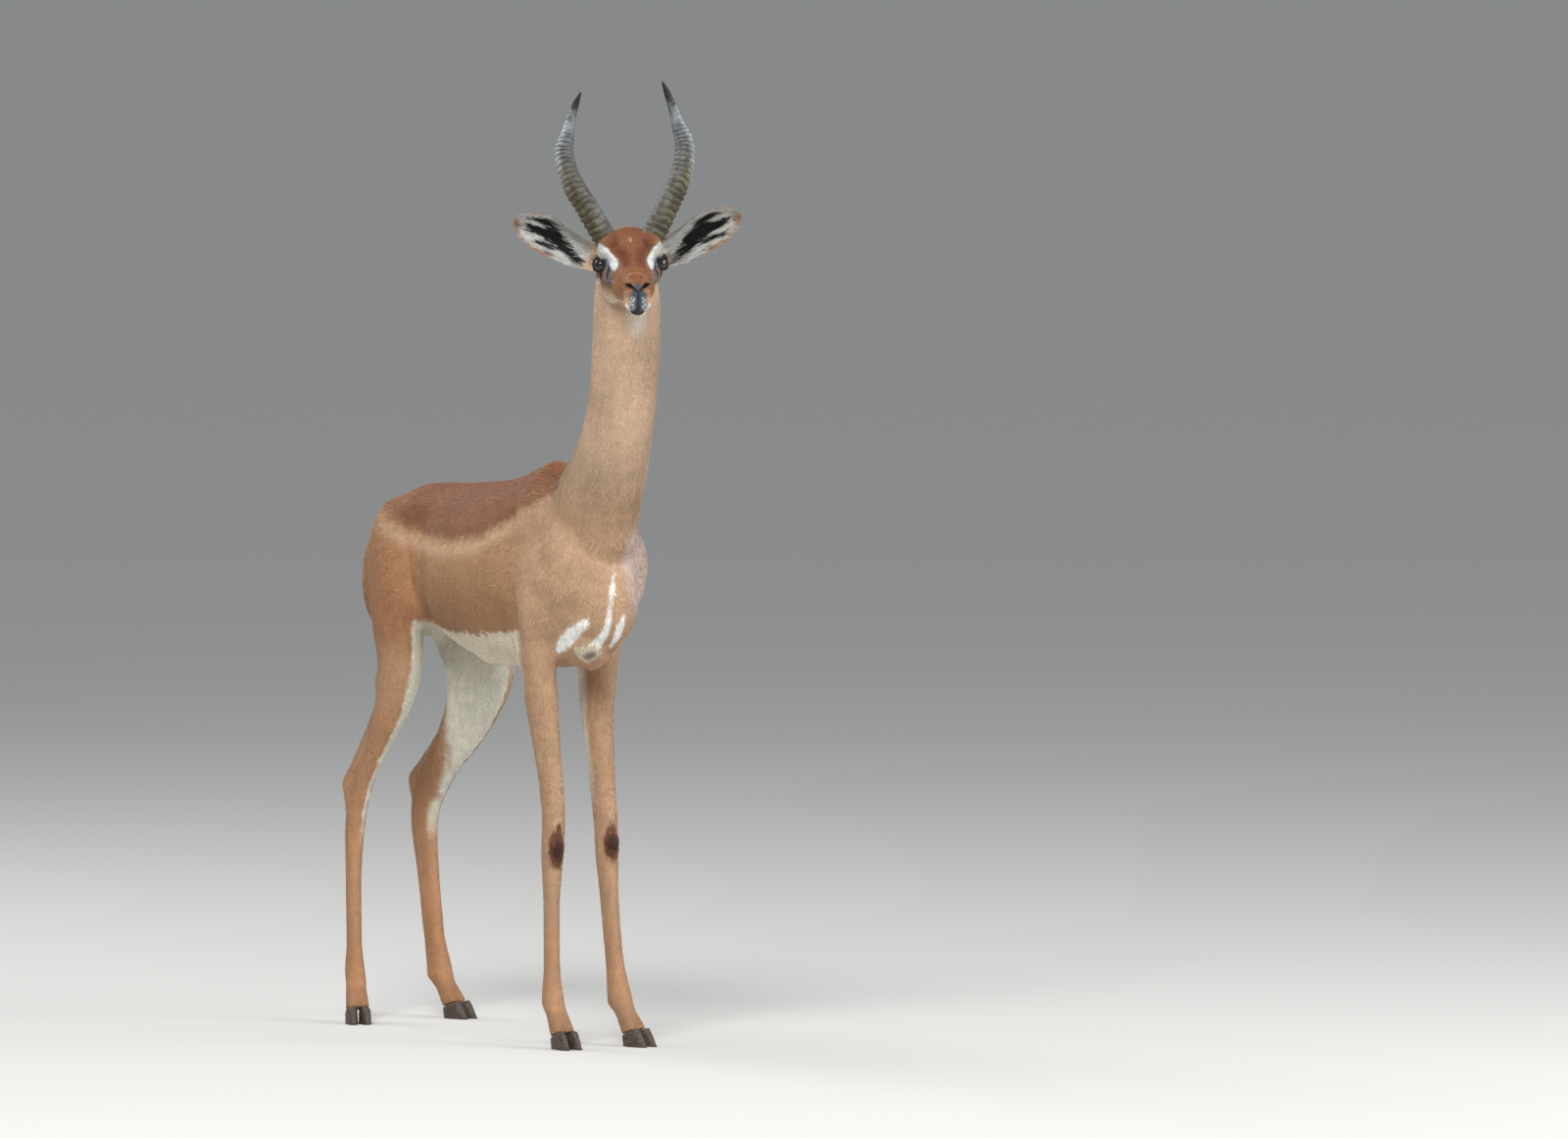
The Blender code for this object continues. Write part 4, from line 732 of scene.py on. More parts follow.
def ear_place(place, side):
    """How far along, in metres, across, in metres, and out of the ear's opening each point lies."""
    root, length, width, opening = ear_frame(side)
    away = place - root
    return np.column_stack([away @ length, away @ width, away @ opening])


def ear_colour(place, normals, side):
    spread = ear_place(place, side)
    along, across = spread[:, 0] / MM, spread[:, 1] / MM
    opening = ear_frame(side)[3]
    facing = normals @ opening
    share = np.clip(along / (EAR_LENGTH / MM), 0, 1)
    half = EAR_HALF_WIDTH / MM * np.interp(share, EAR_PLACES, EAR_WIDTHS)
    combed = mottle(np.column_stack([along * 0.10, across, across * 0]) * MM, 0.0015, 20 + side)
    fine = mottle(place, 0.006, 24)
    back = np.tile(linear(170, 130, 96), (len(place), 1))
    back = paint(back, ramp(share, 0.55, 1.0) * 0.6, ORANGE_TAN)
    inner = np.tile(EAR_WHITE, (len(place), 1)) * (0.88 + 0.12 * combed)[:, None]
    flat = np.column_stack([along, across - 5.5])
    for finger in BLACK_FINGERS:
        inner = paint(inner, stroke(flat + np.column_stack([6 * combed, 0.6 * combed]), finger, 1.1), BLACK)
    lobe = 7.5 * np.exp(-((along - 120) / 36) ** 2)
    edge = across / (half + np.where(across > 0, lobe, 0))
    tip = ramp(along + 0.30 * across + 2 * combed, 161, 169)
    lower = ramp(edge + 0.04 * combed, 0.78, 0.92) * ramp(share, 0.46, 0.56)
    upper = 0.9 * ramp(-edge, 0.88, 0.97)
    inner = paint(inner, 0.35 * ramp(-edge, 0.45, 0.8) * (1 - ramp(share, 0.5, 0.7)), COOL_GREY)
    inner = paint(inner, np.maximum.reduce([tip, lower, upper]), EAR_RIM)
    inner = paint(inner, 0.5 * (1 - ramp(share, 0.10, 0.22)), PALE_TAN)
    colour = paint(back, ramp(facing, -0.12, 0.12), inner)
    return colour * (1 + 0.05 * fine)[:, None]


# %% [markdown]
# One function now picks between the three, so that everything on the animal asks the same one.

# %% The colour of any point of the coat
def coat_colour(points, normals, ear_share):
    layout = to_layout(points)
    in_head = to_head(points)
    head_normals = normals @ head_axes.T
    colour = body_colour(layout, normals)
    on_head = ramp(in_head[:, 1], 0.005, 0.045) * ramp(in_head[:, 2], -0.085, -0.060)
    on_head *= ramp(layout[:, 2], 1.20, 1.225)
    colour = colour * (1 - on_head[:, None]) + head_colour(in_head) * on_head[:, None]
    for side in (1, -1):
        mine = ear_share * (np.sign(in_head[:, 0]) == side)
        colour = colour * (1 - mine[:, None]) + ear_colour(in_head, head_normals, side) * mine[:, None]
    return np.clip(colour, 0.002, 1)


def store_colour(obj, colour):
    """Keeps one colour for each point, in an attribute that the material reads."""
    layer = obj.data.attributes.new("painted_colour", "FLOAT_COLOR", "POINT")
    layer.data.foreach_set("color", np.column_stack([colour, np.ones(len(colour))]).ravel())


# %% [markdown]
# The lower rim of each ear swings out in a rounded lobe towards the tip, and the upper rim is a little
# lower near the root.

# %% The lobes of the ears
points = coordinates(skin)
for side in (1, -1):
    spread_out = ear_place(to_head(points), side)
    along, across = spread_out[:, 0], spread_out[:, 1]
    mine = on_ear * (np.sign(to_head(points)[:, 0]) == side) * ramp(along, 0.02, 0.05)
    lobe = 0.0075 * np.exp(-((along - 0.120) / 0.036) ** 2) * ramp(across, 0.002, 0.024)
    lowered = 0.0035 * np.exp(-((along - 0.060) / 0.035) ** 2) * ramp(-across, 0.0, 0.020)
    points = points + (mine * (lobe + lowered))[:, None] * (ear_frame(side)[2] @ head_axes)
place(skin, points)
print("ear lobes shaped")

# %% [markdown]
# The skin is drawn in by the coat's depth, but less round the eyes and horns, where it meets them. The
# finest forms are pressed into it here: nostrils, mouth, lip furrow, gland slits, lids and muscles.

# %% Fine forms of the skin
NOSTRIL = [(4, 244, -7, 0.8), (10, 239.5, 0, 2.4), (14.5, 238.5, 2.5, 3.4), (18.5, 236, 3.5, 2.2)]
NOSTRIL_WING = [(8, 243, 5, 1.5), (14, 240, 9, 1.8), (20, 233, 10, 1.8), (24, 224, 6, 1.5), (22, 232, -3, 1.5)]
PHILTRUM = [(0, 245, -9, 0.8), (0, 244.5, -24, 0.6), (0, 241, -39, 0.6)]
MOUTH = [(0, 240.5, -43.5, 0.8), (7, 238, -43.5, 0.8), (12.5, 233, -43, 0.7), (19.5, 218, -41, 0.6), (25, 190, -36.5, 0.2)]
GLAND_SLIT = [(40, 131, 11, 0.6), (41.5, 138, 4, 1.5), (44, 140, -2.5, 1.5)]
TEAR_LINE = [(55, 117, -4, 0.8), (53, 114, -10, 0.8), (49, 114, -18, 0.3)]
CHEEK_LINE = [(30, 150, -6, 1.0), (27, 175, -14, 1.0), (25, 195, -22, 1.0)]
FACE_FORMS = [
    # a line, its depth in millimetres, and how soft its edge is
    (NOSTRIL, -4.2, 1.6), (NOSTRIL_WING, 1.5, 2.4), (PHILTRUM, -1.5, 1.1), (MOUTH, -2.0, 1.2),
    (GLAND_SLIT, -2.4, 1.4), (TEAR_LINE, -1.2, 1.2), (CHEEK_LINE, -1.2, 4.0),
]
unpressed = points.copy()
place_in_head = to_head(points)
folded = mirrored(place_in_head) / MM
on_face = ramp(place_in_head[:, 1], 0.02, 0.06) * ramp(points[:, 2], 1.20, 1.24)
lift = np.zeros(len(points))
for line, depth, soft in FACE_FORMS:
    lift += on_face * depth * MM * stroke(folded, line, soft)
from_eye = np.linalg.norm(folded - EYE_IN_HEAD / MM, axis=1)
lift += on_face * 0.9 * MM * ramp(from_eye, 15.2, 16.2) * (1 - ramp(from_eye, 17.5, 20.5))
for path, depth, width in CREASES:
    for line in both_flanks(path):
        away = np.maximum(line_distance(to_layout(points), line), 0)
        lift -= depth * np.exp(-(away / width) ** 2) - 0.5 * depth * np.exp(-((away - 2 * width) / width) ** 2)
knob = line_distance(to_layout(points), [(-0.026, -0.016, 0.646, 0.004), (-0.031, 0.002, 0.640, 0.005)])
lift += 0.0050 * np.exp(-(np.maximum(knob, 0) / 0.013) ** 2) - 0.0022 * np.exp(-((knob - 0.026) / 0.007) ** 2)
by_eye = on_face * (1 - ramp(from_eye, 17, 22))
by_horn = 1 - ramp(line_distance(folded * MM, HORN_ROOT), 0.001, 0.007)
drawn_in = (SWELL + COAT_DEPTH) * (1 - np.clip(by_eye + by_horn, 0, 1))
place(skin, points + (lift - drawn_in)[:, None] * normals_of(skin))

# %% Painting the skin
points = coordinates(skin)
ear_share = relax(on_ear[:, None].astype(float), edges, 0.5, 3)[:, 0]
store_colour(skin, coat_colour(unpressed, normals_of(skin), ear_share))
print("the skin is painted")

# %% [markdown]
# The coat's material takes its colour from the painted points, and is broken up by two scales of
# noise. Short hair scatters light, so it is rough with a faint sheen, and its bump is very fine.

# %% The coat's material
def new_material(name, roughness, **sockets):
    material = bpy.data.materials.new(name)
    material.use_nodes = True
    shader = material.node_tree.nodes["Principled BSDF"]
    shader.inputs["Roughness"].default_value = roughness
    for socket, value in sockets.items():
        shader.inputs[socket.replace("_", " ")].default_value = value
    return material, shader


def add_node(material, kind, **settings):
    node = material.node_tree.nodes.new(kind)
    for key, value in settings.items():
        if key in node.inputs:
            node.inputs[key].default_value = value
        else:
            setattr(node, key, value)
    return node


def wire(material, output, target):
    material.node_tree.links.new(output, target)


def noise(material, scale, detail=3.0):
    place_node = add_node(material, "ShaderNodeTexCoord")
    node = add_node(material, "ShaderNodeTexNoise", Scale=scale, Detail=detail)
    wire(material, place_node.outputs["Object"], node.inputs["Vector"])
    return node


def bump_from(material, shader, height, strength, distance):
    bump = add_node(material, "ShaderNodeBump", Strength=strength, Distance=distance)
    wire(material, height, bump.inputs["Height"])
    wire(material, bump.outputs["Normal"], shader.inputs["Normal"])


def multiply(material, colour, factor_output, low, high):
    """A colour made lighter and darker by a noise between low and high."""
    span = add_node(material, "ShaderNodeMapRange")
    wire(material, factor_output, span.inputs["Value"])
    for name, value in zip(("From Min", "From Max", "To Min", "To Max"), (0.3, 0.7, low, high)):
        span.inputs[name].default_value = value
    mix = add_node(material, "ShaderNodeVectorMath", operation="SCALE")
    wire(material, colour, mix.inputs[0])
    wire(material, span.outputs["Result"], mix.inputs["Scale"])
    return mix.outputs["Vector"]


def coat_material(name, roughness):
    material, shader = new_material(name, roughness, Specular_IOR_Level=0.20, Sheen_Weight=0.03, Sheen_Roughness=0.5)
    painted = add_node(material, "ShaderNodeAttribute", attribute_name="painted_colour")
    speckle = noise(material, 900)
    clumps = noise(material, 260, 4.0)
    colour = multiply(material, painted.outputs["Color"], speckle.outputs["Fac"], 0.84, 1.16)
    colour = multiply(material, colour, clumps.outputs["Fac"], 0.92, 1.08)
    wire(material, colour, shader.inputs["Base Color"])
    bump_from(material, shader, speckle.outputs["Fac"], 0.35, 0.0006)
    return material


hair = coat_material("short_hair", 0.62)
skin.data.materials.append(hair)
bpy.context.view_layer.objects.active = skin
deselect()
skin.select_set(True)
bpy.ops.object.shade_smooth()
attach(skin, "root")
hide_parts(*FLESH)

# %% [markdown]
# Short fur that lies flat is colour and bump, but it still breaks the outline and catches light in
# streaks, so the skin also carries fine tufts. Each is a ribbon of three triangles, rooted just under
# the skin, lying along the coat and lifted a little. Arrays make thousands at once.

# %% Ribbons of hair
BAKE_PATCH = 0.003


def ribbons(name, paths, across, widths, colour, spots, material):
    """One mesh of flat ribbons. paths has one row of points for each ribbon, from root to tip."""
    count, steps = paths.shape[:2]
    size = 2 * steps - 1
    corners = np.empty((count, size, 3))
    half = across[:, None] * widths[:, :, None] / 2
    corners[:, 0:size - 1:2] = paths[:, :-1] - half[:, :-1]
    corners[:, 1:size:2] = paths[:, :-1] + half[:, :-1]
    corners[:, size - 1] = paths[:, -1]
    faces = [[2 * k, 2 * k + 1, 2 * k + 3, 2 * k + 2] for k in range(steps - 2)]
    faces.append([size - 3, size - 2, size - 1])
    one = np.array([corner for face in faces for corner in face])
    loops = (np.arange(count)[:, None] * size + one).ravel()
    starts = np.cumsum([0] + [len(face) for face in faces[:-1]])
    mesh = bpy.data.meshes.new(name)
    mesh.vertices.add(count * size)
    mesh.vertices.foreach_set("co", corners.ravel())
    mesh.loops.add(len(loops))
    mesh.loops.foreach_set("vertex_index", loops)
    mesh.polygons.add(count * len(faces))
    mesh.polygons.foreach_set("loop_start", (np.arange(count)[:, None] * len(one) + starts).ravel())
    mesh.update(calc_edges=True)
    mesh.polygons.foreach_set("use_smooth", np.ones(len(mesh.polygons), bool))
    obj = bpy.data.objects.new(name, mesh)
    bpy.context.scene.collection.objects.link(obj)
    # painted shade towards each ribbon's root and painted light towards its tip
    level = np.append(np.repeat(np.arange(steps - 1), 2), steps - 1) / (steps - 1)
    shade = ROOT_SHADE + (TIP_LIGHT - ROOT_SHADE) * level
    store_colour(obj, np.clip(colour[:, None] * shade[:, None], 0.002, 1).reshape(-1, 3))
    # each ribbon's patch on the bake map stands at its root's place on the unwrapped skin
    aside = np.append(np.tile([-0.5, 0.5], steps - 1), 0)
    patch = spots[:, None] + BAKE_PATCH * np.column_stack([aside, level - 0.5])
    layer = mesh.uv_layers.new(name="OFBake")
    layer.data.foreach_set("uv", np.clip(patch.reshape(-1, 2)[loops], 0, 1).ravel())
    mesh.materials.append(material)
    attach(obj, "root")
    print(name, count, "ribbons,", count * (2 * steps - 3), "triangles")
    return obj


# %% [markdown]
# Each stretch of skin is unwrapped round its own axis: how far along it a point lies, and its angle
# round it. Legs and ears stand side by side on their maps.

# %% Unwrapping the skin
# painted shade at the root of each ribbon of hair and painted light at its tip
ROOT_SHADE = 0.86
TIP_LIGHT = 1.10


def share_of(values):
    return (values - values.min()) / max(np.ptp(values), 1e-9)


def unwrap(points, start, end, ahead):
    """The place of each point on a map: its angle round the line from start to end, and along it."""
    axis = unit(np.subtract(end, start))
    aside = unit(np.cross(axis, ahead))
    front = np.cross(aside, axis)
    away = points - start
    turn = np.arctan2(away @ aside, away @ front)
    return np.column_stack([0.01 + 0.98 * share_of(turn), 0.01 + 0.98 * share_of(away @ axis)])


def side_by_side(points, groups, start_of, end_of, ahead):
    """Unwraps each group of points round its own line and stands the groups next to one another."""
    spots = np.zeros((len(points), 2))
    for number, group in enumerate(groups):
        part = unwrap(points[group], start_of[number], end_of[number], ahead)
        spots[group] = (part + [number, 0]) / [len(groups), 1]
    return spots


# %% [markdown]
# Spots are scattered evenly over the skin. The hair is longest on the trunk, shorter down the limbs
# and finest on the face and feet, and there is none on the nose and the eye rims.

# %% The short coat
AREAS = {
    # tufts for each square metre, then the length, width and lift of one
    "trunk": (215000, 0.0100, 0.00125, 9),
    "neck": (290000, 0.0080, 0.00100, 10),
    "limb": (330000, 0.0062, 0.00085, 10),
    "head": (760000, 0.0042, 0.00060, 11),
    "ear": (420000, 0.0070, 0.00070, 10),
}
random = np.random.default_rng(4)


def area_of(name):
    if name.startswith("leg"):
        return "trunk" if name.endswith("upper") else "limb"
    if name.startswith("ear"):
        return "ear"
    return name if name in ("head", "neck") else "trunk"


def corner_numbers(obj):
    flat = np.empty(len(obj.data.loops), np.int64)
    obj.data.loops.foreach_get("vertex_index", flat)
    return flat.reshape(-1, 3)


def scatter(corners, places, density):
    """Random spots on triangles, as many for each square metre as the density at their corners says."""
    a, b, c = (places[corners[:, k]] for k in range(3))
    area = np.linalg.norm(np.cross(b - a, c - a), axis=1) / 2
    expected = area * density[corners].mean(axis=1)
    number = np.floor(expected + random.random(len(corners))).astype(int)
    face = np.repeat(np.arange(len(corners)), number)
    first, second = random.random((2, len(face)))
    turn = first + second > 1
    first[turn], second[turn] = 1 - first[turn], 1 - second[turn]
    return corners[face], np.column_stack([1 - first - second, first, second])


def spread(values, corners, weights):
    return np.einsum("nk,nkj->nj", weights, values[corners])


normals = normals_of(skin)
sizes_here = np.array([AREAS[area_of(name)] for name in FLESH])[node_number]
in_head = to_head(points)
aside = mirrored(in_head)
bare = ramp(aside[:, 1], 0.234, 0.240) * ramp(-aside[:, 2], -0.010, 0.004)
from_eye = np.linalg.norm(aside - EYE_IN_HEAD, axis=1)
bare = np.maximum(bare, 1 - ramp(from_eye, 0.0180, 0.0200))
face = ramp(in_head[:, 1], 0.06, 0.16) * (in_head[:, 2] > -0.10) * (points[:, 2] > 1.2)
sizes_here = relax(sizes_here, edges, 0.5, 12)
sizes_here[:, 1] *= 1 - 0.45 * face
in_ear = ear_share > 0.5
inside_ear = np.zeros(len(points), bool)
for side in (1, -1):
    opening = ear_frame(side)[3] @ head_axes
    inside_ear |= in_ear & (np.sign(in_head[:, 0]) == side) & (normals @ opening > 0.1)
sizes_here[inside_ear, 1] = 0.0105
low = 1 - ramp(points[:, 2], 0.035, 0.14)
sizes_here[:, 1] *= 1 - 0.35 * low
density = sizes_here[:, 0] * (1 - bare)
corners, weights = scatter(corner_numbers(skin), points, density)
roots = spread(points, corners, weights)
upright = unit(spread(normals, corners, weights))
direction = spread(lie, corners, weights)
direction += 0.16 * random.normal(size=direction.shape)
direction = unit(direction - upright * np.einsum("nk,nk->n", direction, upright)[:, None])
size = spread(sizes_here, corners, weights)
length = size[:, 1:2] * random.uniform(0.75, 1.25, (len(roots), 1))
width = size[:, 2:3] * random.uniform(0.8, 1.2, (len(roots), 1))
rise = length * np.tan(np.radians(size[:, 3:4] * random.uniform(0.5, 1.5, (len(roots), 1))))
paths = np.stack([
    roots - 0.0003 * upright,
    roots + 0.5 * length * direction + 0.55 * rise * upright,
    roots + 0.98 * length * direction + 0.60 * rise * upright,
], axis=1)
widths = width * np.array([0.8, 1.0, 0.0])
ears_here = spread(ear_share[:, None], corners, weights)[:, 0]
colour = coat_colour(spread(unpressed, corners, weights), upright, ears_here) * random.normal(1, 0.07, (len(roots), 1))
node_here = node_number[corners[:, 0]]
across = unit(np.cross(direction, upright))
print("tufts:", len(roots))

# %% [markdown]
# The coat is cut into pieces of one part each, with their own maps.

# %% The pieces of the coat
limbs = {name: np.isin(node_here, [FLESH.index(name)]) for name in FLESH}
layout = to_layout(roots)
trunk_here = limbs["torso"] | limbs["tail"]
uppers = {side: limbs["leg_hind_" + side + "_upper"] | limbs["leg_front_" + side + "_upper"] for side in ("left", "right")}
BREAST = 0.24
HIP = 0.44
trunk_pieces = {
    "fore_left": trunk_here & (layout[:, 0] >= 0) & (layout[:, 1] < BREAST),
    "fore_right": trunk_here & (layout[:, 0] < 0) & (layout[:, 1] < BREAST),
    "mid_left": trunk_here & (layout[:, 0] >= 0) & (layout[:, 1] >= BREAST),
    "mid_right": trunk_here & (layout[:, 0] < 0) & (layout[:, 1] >= BREAST),
}


def make_piece(name, chosen, spots):
    ribbons(
        name, paths[chosen], across[chosen], widths[chosen], colour[chosen], spots, hair,
    )


for name, chosen in trunk_pieces.items():
    line = np.array([[0, -0.1, 0.78], [0, 0.7, 0.78]]) + layout_shift
    make_piece("coat_" + name, chosen, unwrap(roots[chosen], line[0], line[1], (0, 0, -1)))
for pair in ("front", "hind"):
    for part in ("upper", "lower"):
        names = ["leg_" + pair + "_" + side + "_" + part for side in ("left", "right")]
        chosen = limbs[names[0]] | limbs[names[1]]
        mine = [limbs[name][chosen] for name in names]
        tops, feet = [], []
        for group in mine:
            limb = roots[chosen][group]
            tops.append(limb[limb[:, 2] > np.quantile(limb[:, 2], 0.9)].mean(axis=0))
            feet.append(limb[limb[:, 2] < np.quantile(limb[:, 2], 0.1)].mean(axis=0))
        make_piece("coat_" + pair + "_" + part, chosen, side_by_side(roots[chosen], mine, tops, feet, (0, -1, 0)))
chosen = limbs["neck"]
line = np.array([[0, -0.09, 1.25], [0, 0.02, 0.85]]) + layout_shift
make_piece("coat_neck", chosen, unwrap(roots[chosen], line[0], line[1], (0, -1, 0)))
chosen = limbs["head"]
make_piece("coat_head", chosen, unwrap(roots[chosen], head_origin, from_head([0, 0.25, 0]), -head_axes[2]))
chosen = limbs["ear_left"] | limbs["ear_right"]
fronts = np.einsum("nk,k->n", upright[chosen], head_axes[1]) > 0
mine, tops, tips = [], [], []
for name, side in (("ear_left", -1), ("ear_right", 1)):
    root, length_axis = ear_frame(side)[:2]
    for seen in (fronts, ~fronts):
        mine.append(limbs[name][chosen] & seen)
        tops.append(from_head(root))
        tips.append(from_head(root + EAR_LENGTH * length_axis))
make_piece("coat_ears", chosen, side_by_side(roots[chosen], mine, tops, tips, head_axes[1]))

# %% [markdown]
# Long dark hair hangs in clumps round the end of the tail and lies over each knee like a brush. The
# ears have longer pale hairs along their inner face, and the eyes have lashes.

# %% The tuft of the tail
tuft_hair = coat_material("dark_tuft", 0.5)
TUFT_HAIRS = 2600
TUFT_CLUMPS = 34
TUFT_SPAN = (0.594, 0.712)
TUFT_LENGTH = 0.068
HAIR_SHARES = np.array([0, 0.2, 0.45, 0.7, 1])
CLUMP_SPREAD = np.array([0.0030, 0.0075, 0.0100, 0.0085, 0.0050])
HAIR_WIDTHS = np.array([0.00040, 0.00055, 0.00050, 0.00035, 0])


def hanging_hairs(count, clumps):
    """Paths of hairs that leave the tail's shaft and draw together towards the tip of their clump."""
    clump = random.integers(0, clumps, count)
    clump_turn = np.arange(clumps) * math.radians(137.5)
    clump_height = np.linspace(*TUFT_SPAN, clumps)
    clump_length = TUFT_LENGTH * random.uniform(0.80, 1.12, clumps)
    line = smooth_line(TAIL_LINE, 400)
    height = np.clip(clump_height[clump] + random.normal(0, 0.006, count), TUFT_SPAN[0], TUFT_SPAN[1])
    row = line[np.argmin(np.abs(line[None, 200:, 2] - height[:, None]), axis=1) + 200]
    turn = clump_turn[clump] + random.normal(0, 0.55, count)
    tip_turn = clump_turn[clump] + random.normal(0, 0.20, count)
    length = clump_length[clump] * random.uniform(0.82, 1.05, count)
    hairs = []
    for share, out in zip(HAIR_SHARES, CLUMP_SPREAD):
        angle = turn * (1 - share) + tip_turn * share
        away = out * random.uniform(0.75, 1.2, count)
        hairs.append(np.column_stack([
            row[:, 0] + away * np.cos(angle), row[:, 1] + away * np.sin(angle), height - share * length,
        ]))
    return np.stack(hairs, axis=1) + layout_shift, np.column_stack([-np.sin(turn), np.cos(turn), 0 * turn])


hairs, facing = hanging_hairs(TUFT_HAIRS, TUFT_CLUMPS)
brown = ramp(-hairs[:, 0, 2], -0.74, -0.69)
tuft_colour = paint(np.tile(DARK_BROWN, (TUFT_HAIRS, 1)), brown, linear(28, 23, 21)) * random.normal(1, 0.12, (TUFT_HAIRS, 1))
line = np.array([[0, 0.697, 0.72], [0, 0.697, 0.54]]) + layout_shift
ribbons(
    "tail_tuft", hairs, facing, np.tile(HAIR_WIDTHS * 1.6, (TUFT_HAIRS, 1)), tuft_colour,
    unwrap(hairs[:, 0], line[0], line[1], (0, -1, 0)), tuft_hair,
)

# %% The brushes of the knees, and long hair in the ears
BRUSHES = {"right": (-0.063, 0.035, 0.318), "left": (0.058, 0.052, 0.322)}
BRUSH_SIZE = np.array([0.0098, 0.0145, 0.0225])
BRUSH_SHARES = np.array([0, 0.35, 0.7, 1])
BRUSH_RISE = np.array([-0.0004, 0.0026, 0.0034, 0.0022])


def lying_hairs(corners, weights, heading, length, rise, shares):
    """Paths of hairs that grow from spots on the skin, run along the heading and rise off it."""
    base = spread(points, corners, weights)
    up = unit(spread(normals, corners, weights))
    ahead = heading + 0.15 * random.normal(size=base.shape)
    ahead = unit(ahead - up * np.einsum("nk,nk->n", ahead, up)[:, None])
    steps = [base + share * length[:, None] * ahead + height * up for share, height in zip(shares, rise)]
    return np.stack(steps, axis=1), unit(np.cross(ahead, up))


skin_corners = corner_numbers(skin)
for side, spot in BRUSHES.items():
    away = np.linalg.norm((to_layout(points) - spot) / BRUSH_SIZE, axis=1)
    corners, weights = scatter(skin_corners, points, 1300000 * (1 - ramp(away, 0.75, 1.1)))
    count = len(corners)
    length = random.uniform(0.013, 0.021, count)
    hairs, facing = lying_hairs(corners, weights, np.array([0, 0, -1.0]), length, BRUSH_RISE, BRUSH_SHARES)
    edge = ramp(np.linalg.norm((to_layout(hairs[:, 0]) - spot) / BRUSH_SIZE, axis=1), 0.45, 1.0)
    brush_colour = paint(np.tile(DARK_BROWN, (count, 1)), edge, KNEE_RUST)
    brush_colour = brush_colour * random.normal(1, 0.16, (count, 1)) * random.choice([1, 0.7], (count, 1))
    widths_here = np.tile([0.0006, 0.0008, 0.0006, 0], (count, 1))
    top = np.array(spot) + layout_shift + [0, 0.012, 0.03]
    ribbons(
        "knee_brush_" + side, hairs, facing, widths_here, brush_colour,
        unwrap(hairs[:, 0], top, top - [0, 0, 0.06], (0, -1, 0)), tuft_hair,
    )
for side, name in ((1, "right"), (-1, "left")):
    mine = inside_ear & (np.sign(in_head[:, 0]) == side)
    axis = ear_frame(side)[1] @ head_axes
    corners, weights = scatter(skin_corners, points, 90000.0 * mine)
    count = len(corners)
    length = random.uniform(0.012, 0.024, count)
    left = EAR_LENGTH - 0.006 - ear_place(to_head(spread(points, corners, weights)), side)[:, 0]
    length *= np.clip(left / 0.024, 0.10, 1)
    hairs, facing = lying_hairs(corners, weights, axis, length, np.array([-0.0003, 0.0022, 0.0030, 0.0024]), BRUSH_SHARES)
    base_up = unit(spread(normals, corners, weights))
    ear_hair_colour = coat_colour(hairs[:, 0], base_up, np.ones(count)) * random.normal(1, 0.08, (count, 1))
    widths_here = np.tile([0.0005, 0.0006, 0.0004, 0], (count, 1))
    root = from_head(ear_frame(side)[0])
    ribbons(
        "ear_hair_" + name, hairs, facing, widths_here, ear_hair_colour,
        unwrap(hairs[:, 0], root, root + axis, head_axes[1]), hair,
    )

# %% [markdown]
# The eye is a wet ball. An iris of very dark brown surrounds a pupil that lies level, as in all
# antelopes, under a clear glossy surface.

# %% Eyes
EYE_RADIUS = 0.0150
EYE_AXIS = np.array([0.76, 0.64, 0.08])


def eye_material(side):
    material, shader = new_material(
        "eye_" + ("right" if side == 1 else "left"), 0.06,
        Specular_IOR_Level=0.5, Coat_Weight=0.4, Coat_Roughness=0.02,
    )
    centre = from_head(EYE_IN_HEAD * [side, 1, 1])
    axis = unit(EYE_AXIS * [side, 1, 1]) @ head_axes
    along = unit(np.cross(axis, head_axes[2]))
    up = np.cross(along, axis)
    spot = add_node(material, "ShaderNodeTexCoord")
    away = add_node(material, "ShaderNodeVectorMath", operation="SUBTRACT")
    wire(material, spot.outputs["Object"], away.inputs[0])
    away.inputs[1].default_value = centre
    parts = []
    for direction, size in ((along, 0.0062), (up, 0.0036)):
        dot = add_node(material, "ShaderNodeVectorMath", operation="DOT_PRODUCT")
        wire(material, away.outputs["Vector"], dot.inputs[0])
        dot.inputs[1].default_value = direction / size
        square = add_node(material, "ShaderNodeMath", operation="POWER")
        size_only = add_node(material, "ShaderNodeMath", operation="ABSOLUTE")
        wire(material, dot.outputs["Value"], size_only.inputs[0])
        wire(material, size_only.outputs["Value"], square.inputs[0])
        square.inputs[1].default_value = 2.0
        parts.append(square.outputs["Value"])
    total = add_node(material, "ShaderNodeMath", operation="ADD")
    wire(material, parts[0], total.inputs[0])
    wire(material, parts[1], total.inputs[1])
    ramp_node = add_node(material, "ShaderNodeValToRGB")
    wire(material, total.outputs["Value"], ramp_node.inputs["Fac"])
    stops = ramp_node.color_ramp.elements
    stops[0].position, stops[0].color = 0.80, (0.002, 0.002, 0.003, 1)
    stops[1].position, stops[1].color = 1.0, (0.010, 0.005, 0.003, 1)
    wire(material, ramp_node.outputs["Color"], shader.inputs["Base Color"])
    return material


for side, node in ((1, "eye_right"), (-1, "eye_left")):
    deselect()
    bpy.ops.mesh.primitive_uv_sphere_add(segments=48, ring_count=32, radius=EYE_RADIUS)
    ball = bpy.context.active_object
    ball.name = node + "_ball"
    axis = unit(EYE_AXIS * [side, 1, 1]) @ head_axes
    globe = coordinates(ball)
    bulge = 0.0008 * ramp(globe @ axis, 0.010, 0.015)
    place(ball, globe + bulge[:, None] * axis + middle(node))
    ball.data.materials.append(eye_material(side))
    bpy.ops.object.shade_smooth()
    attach(ball, "root")
    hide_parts(node)
print("two eyes")

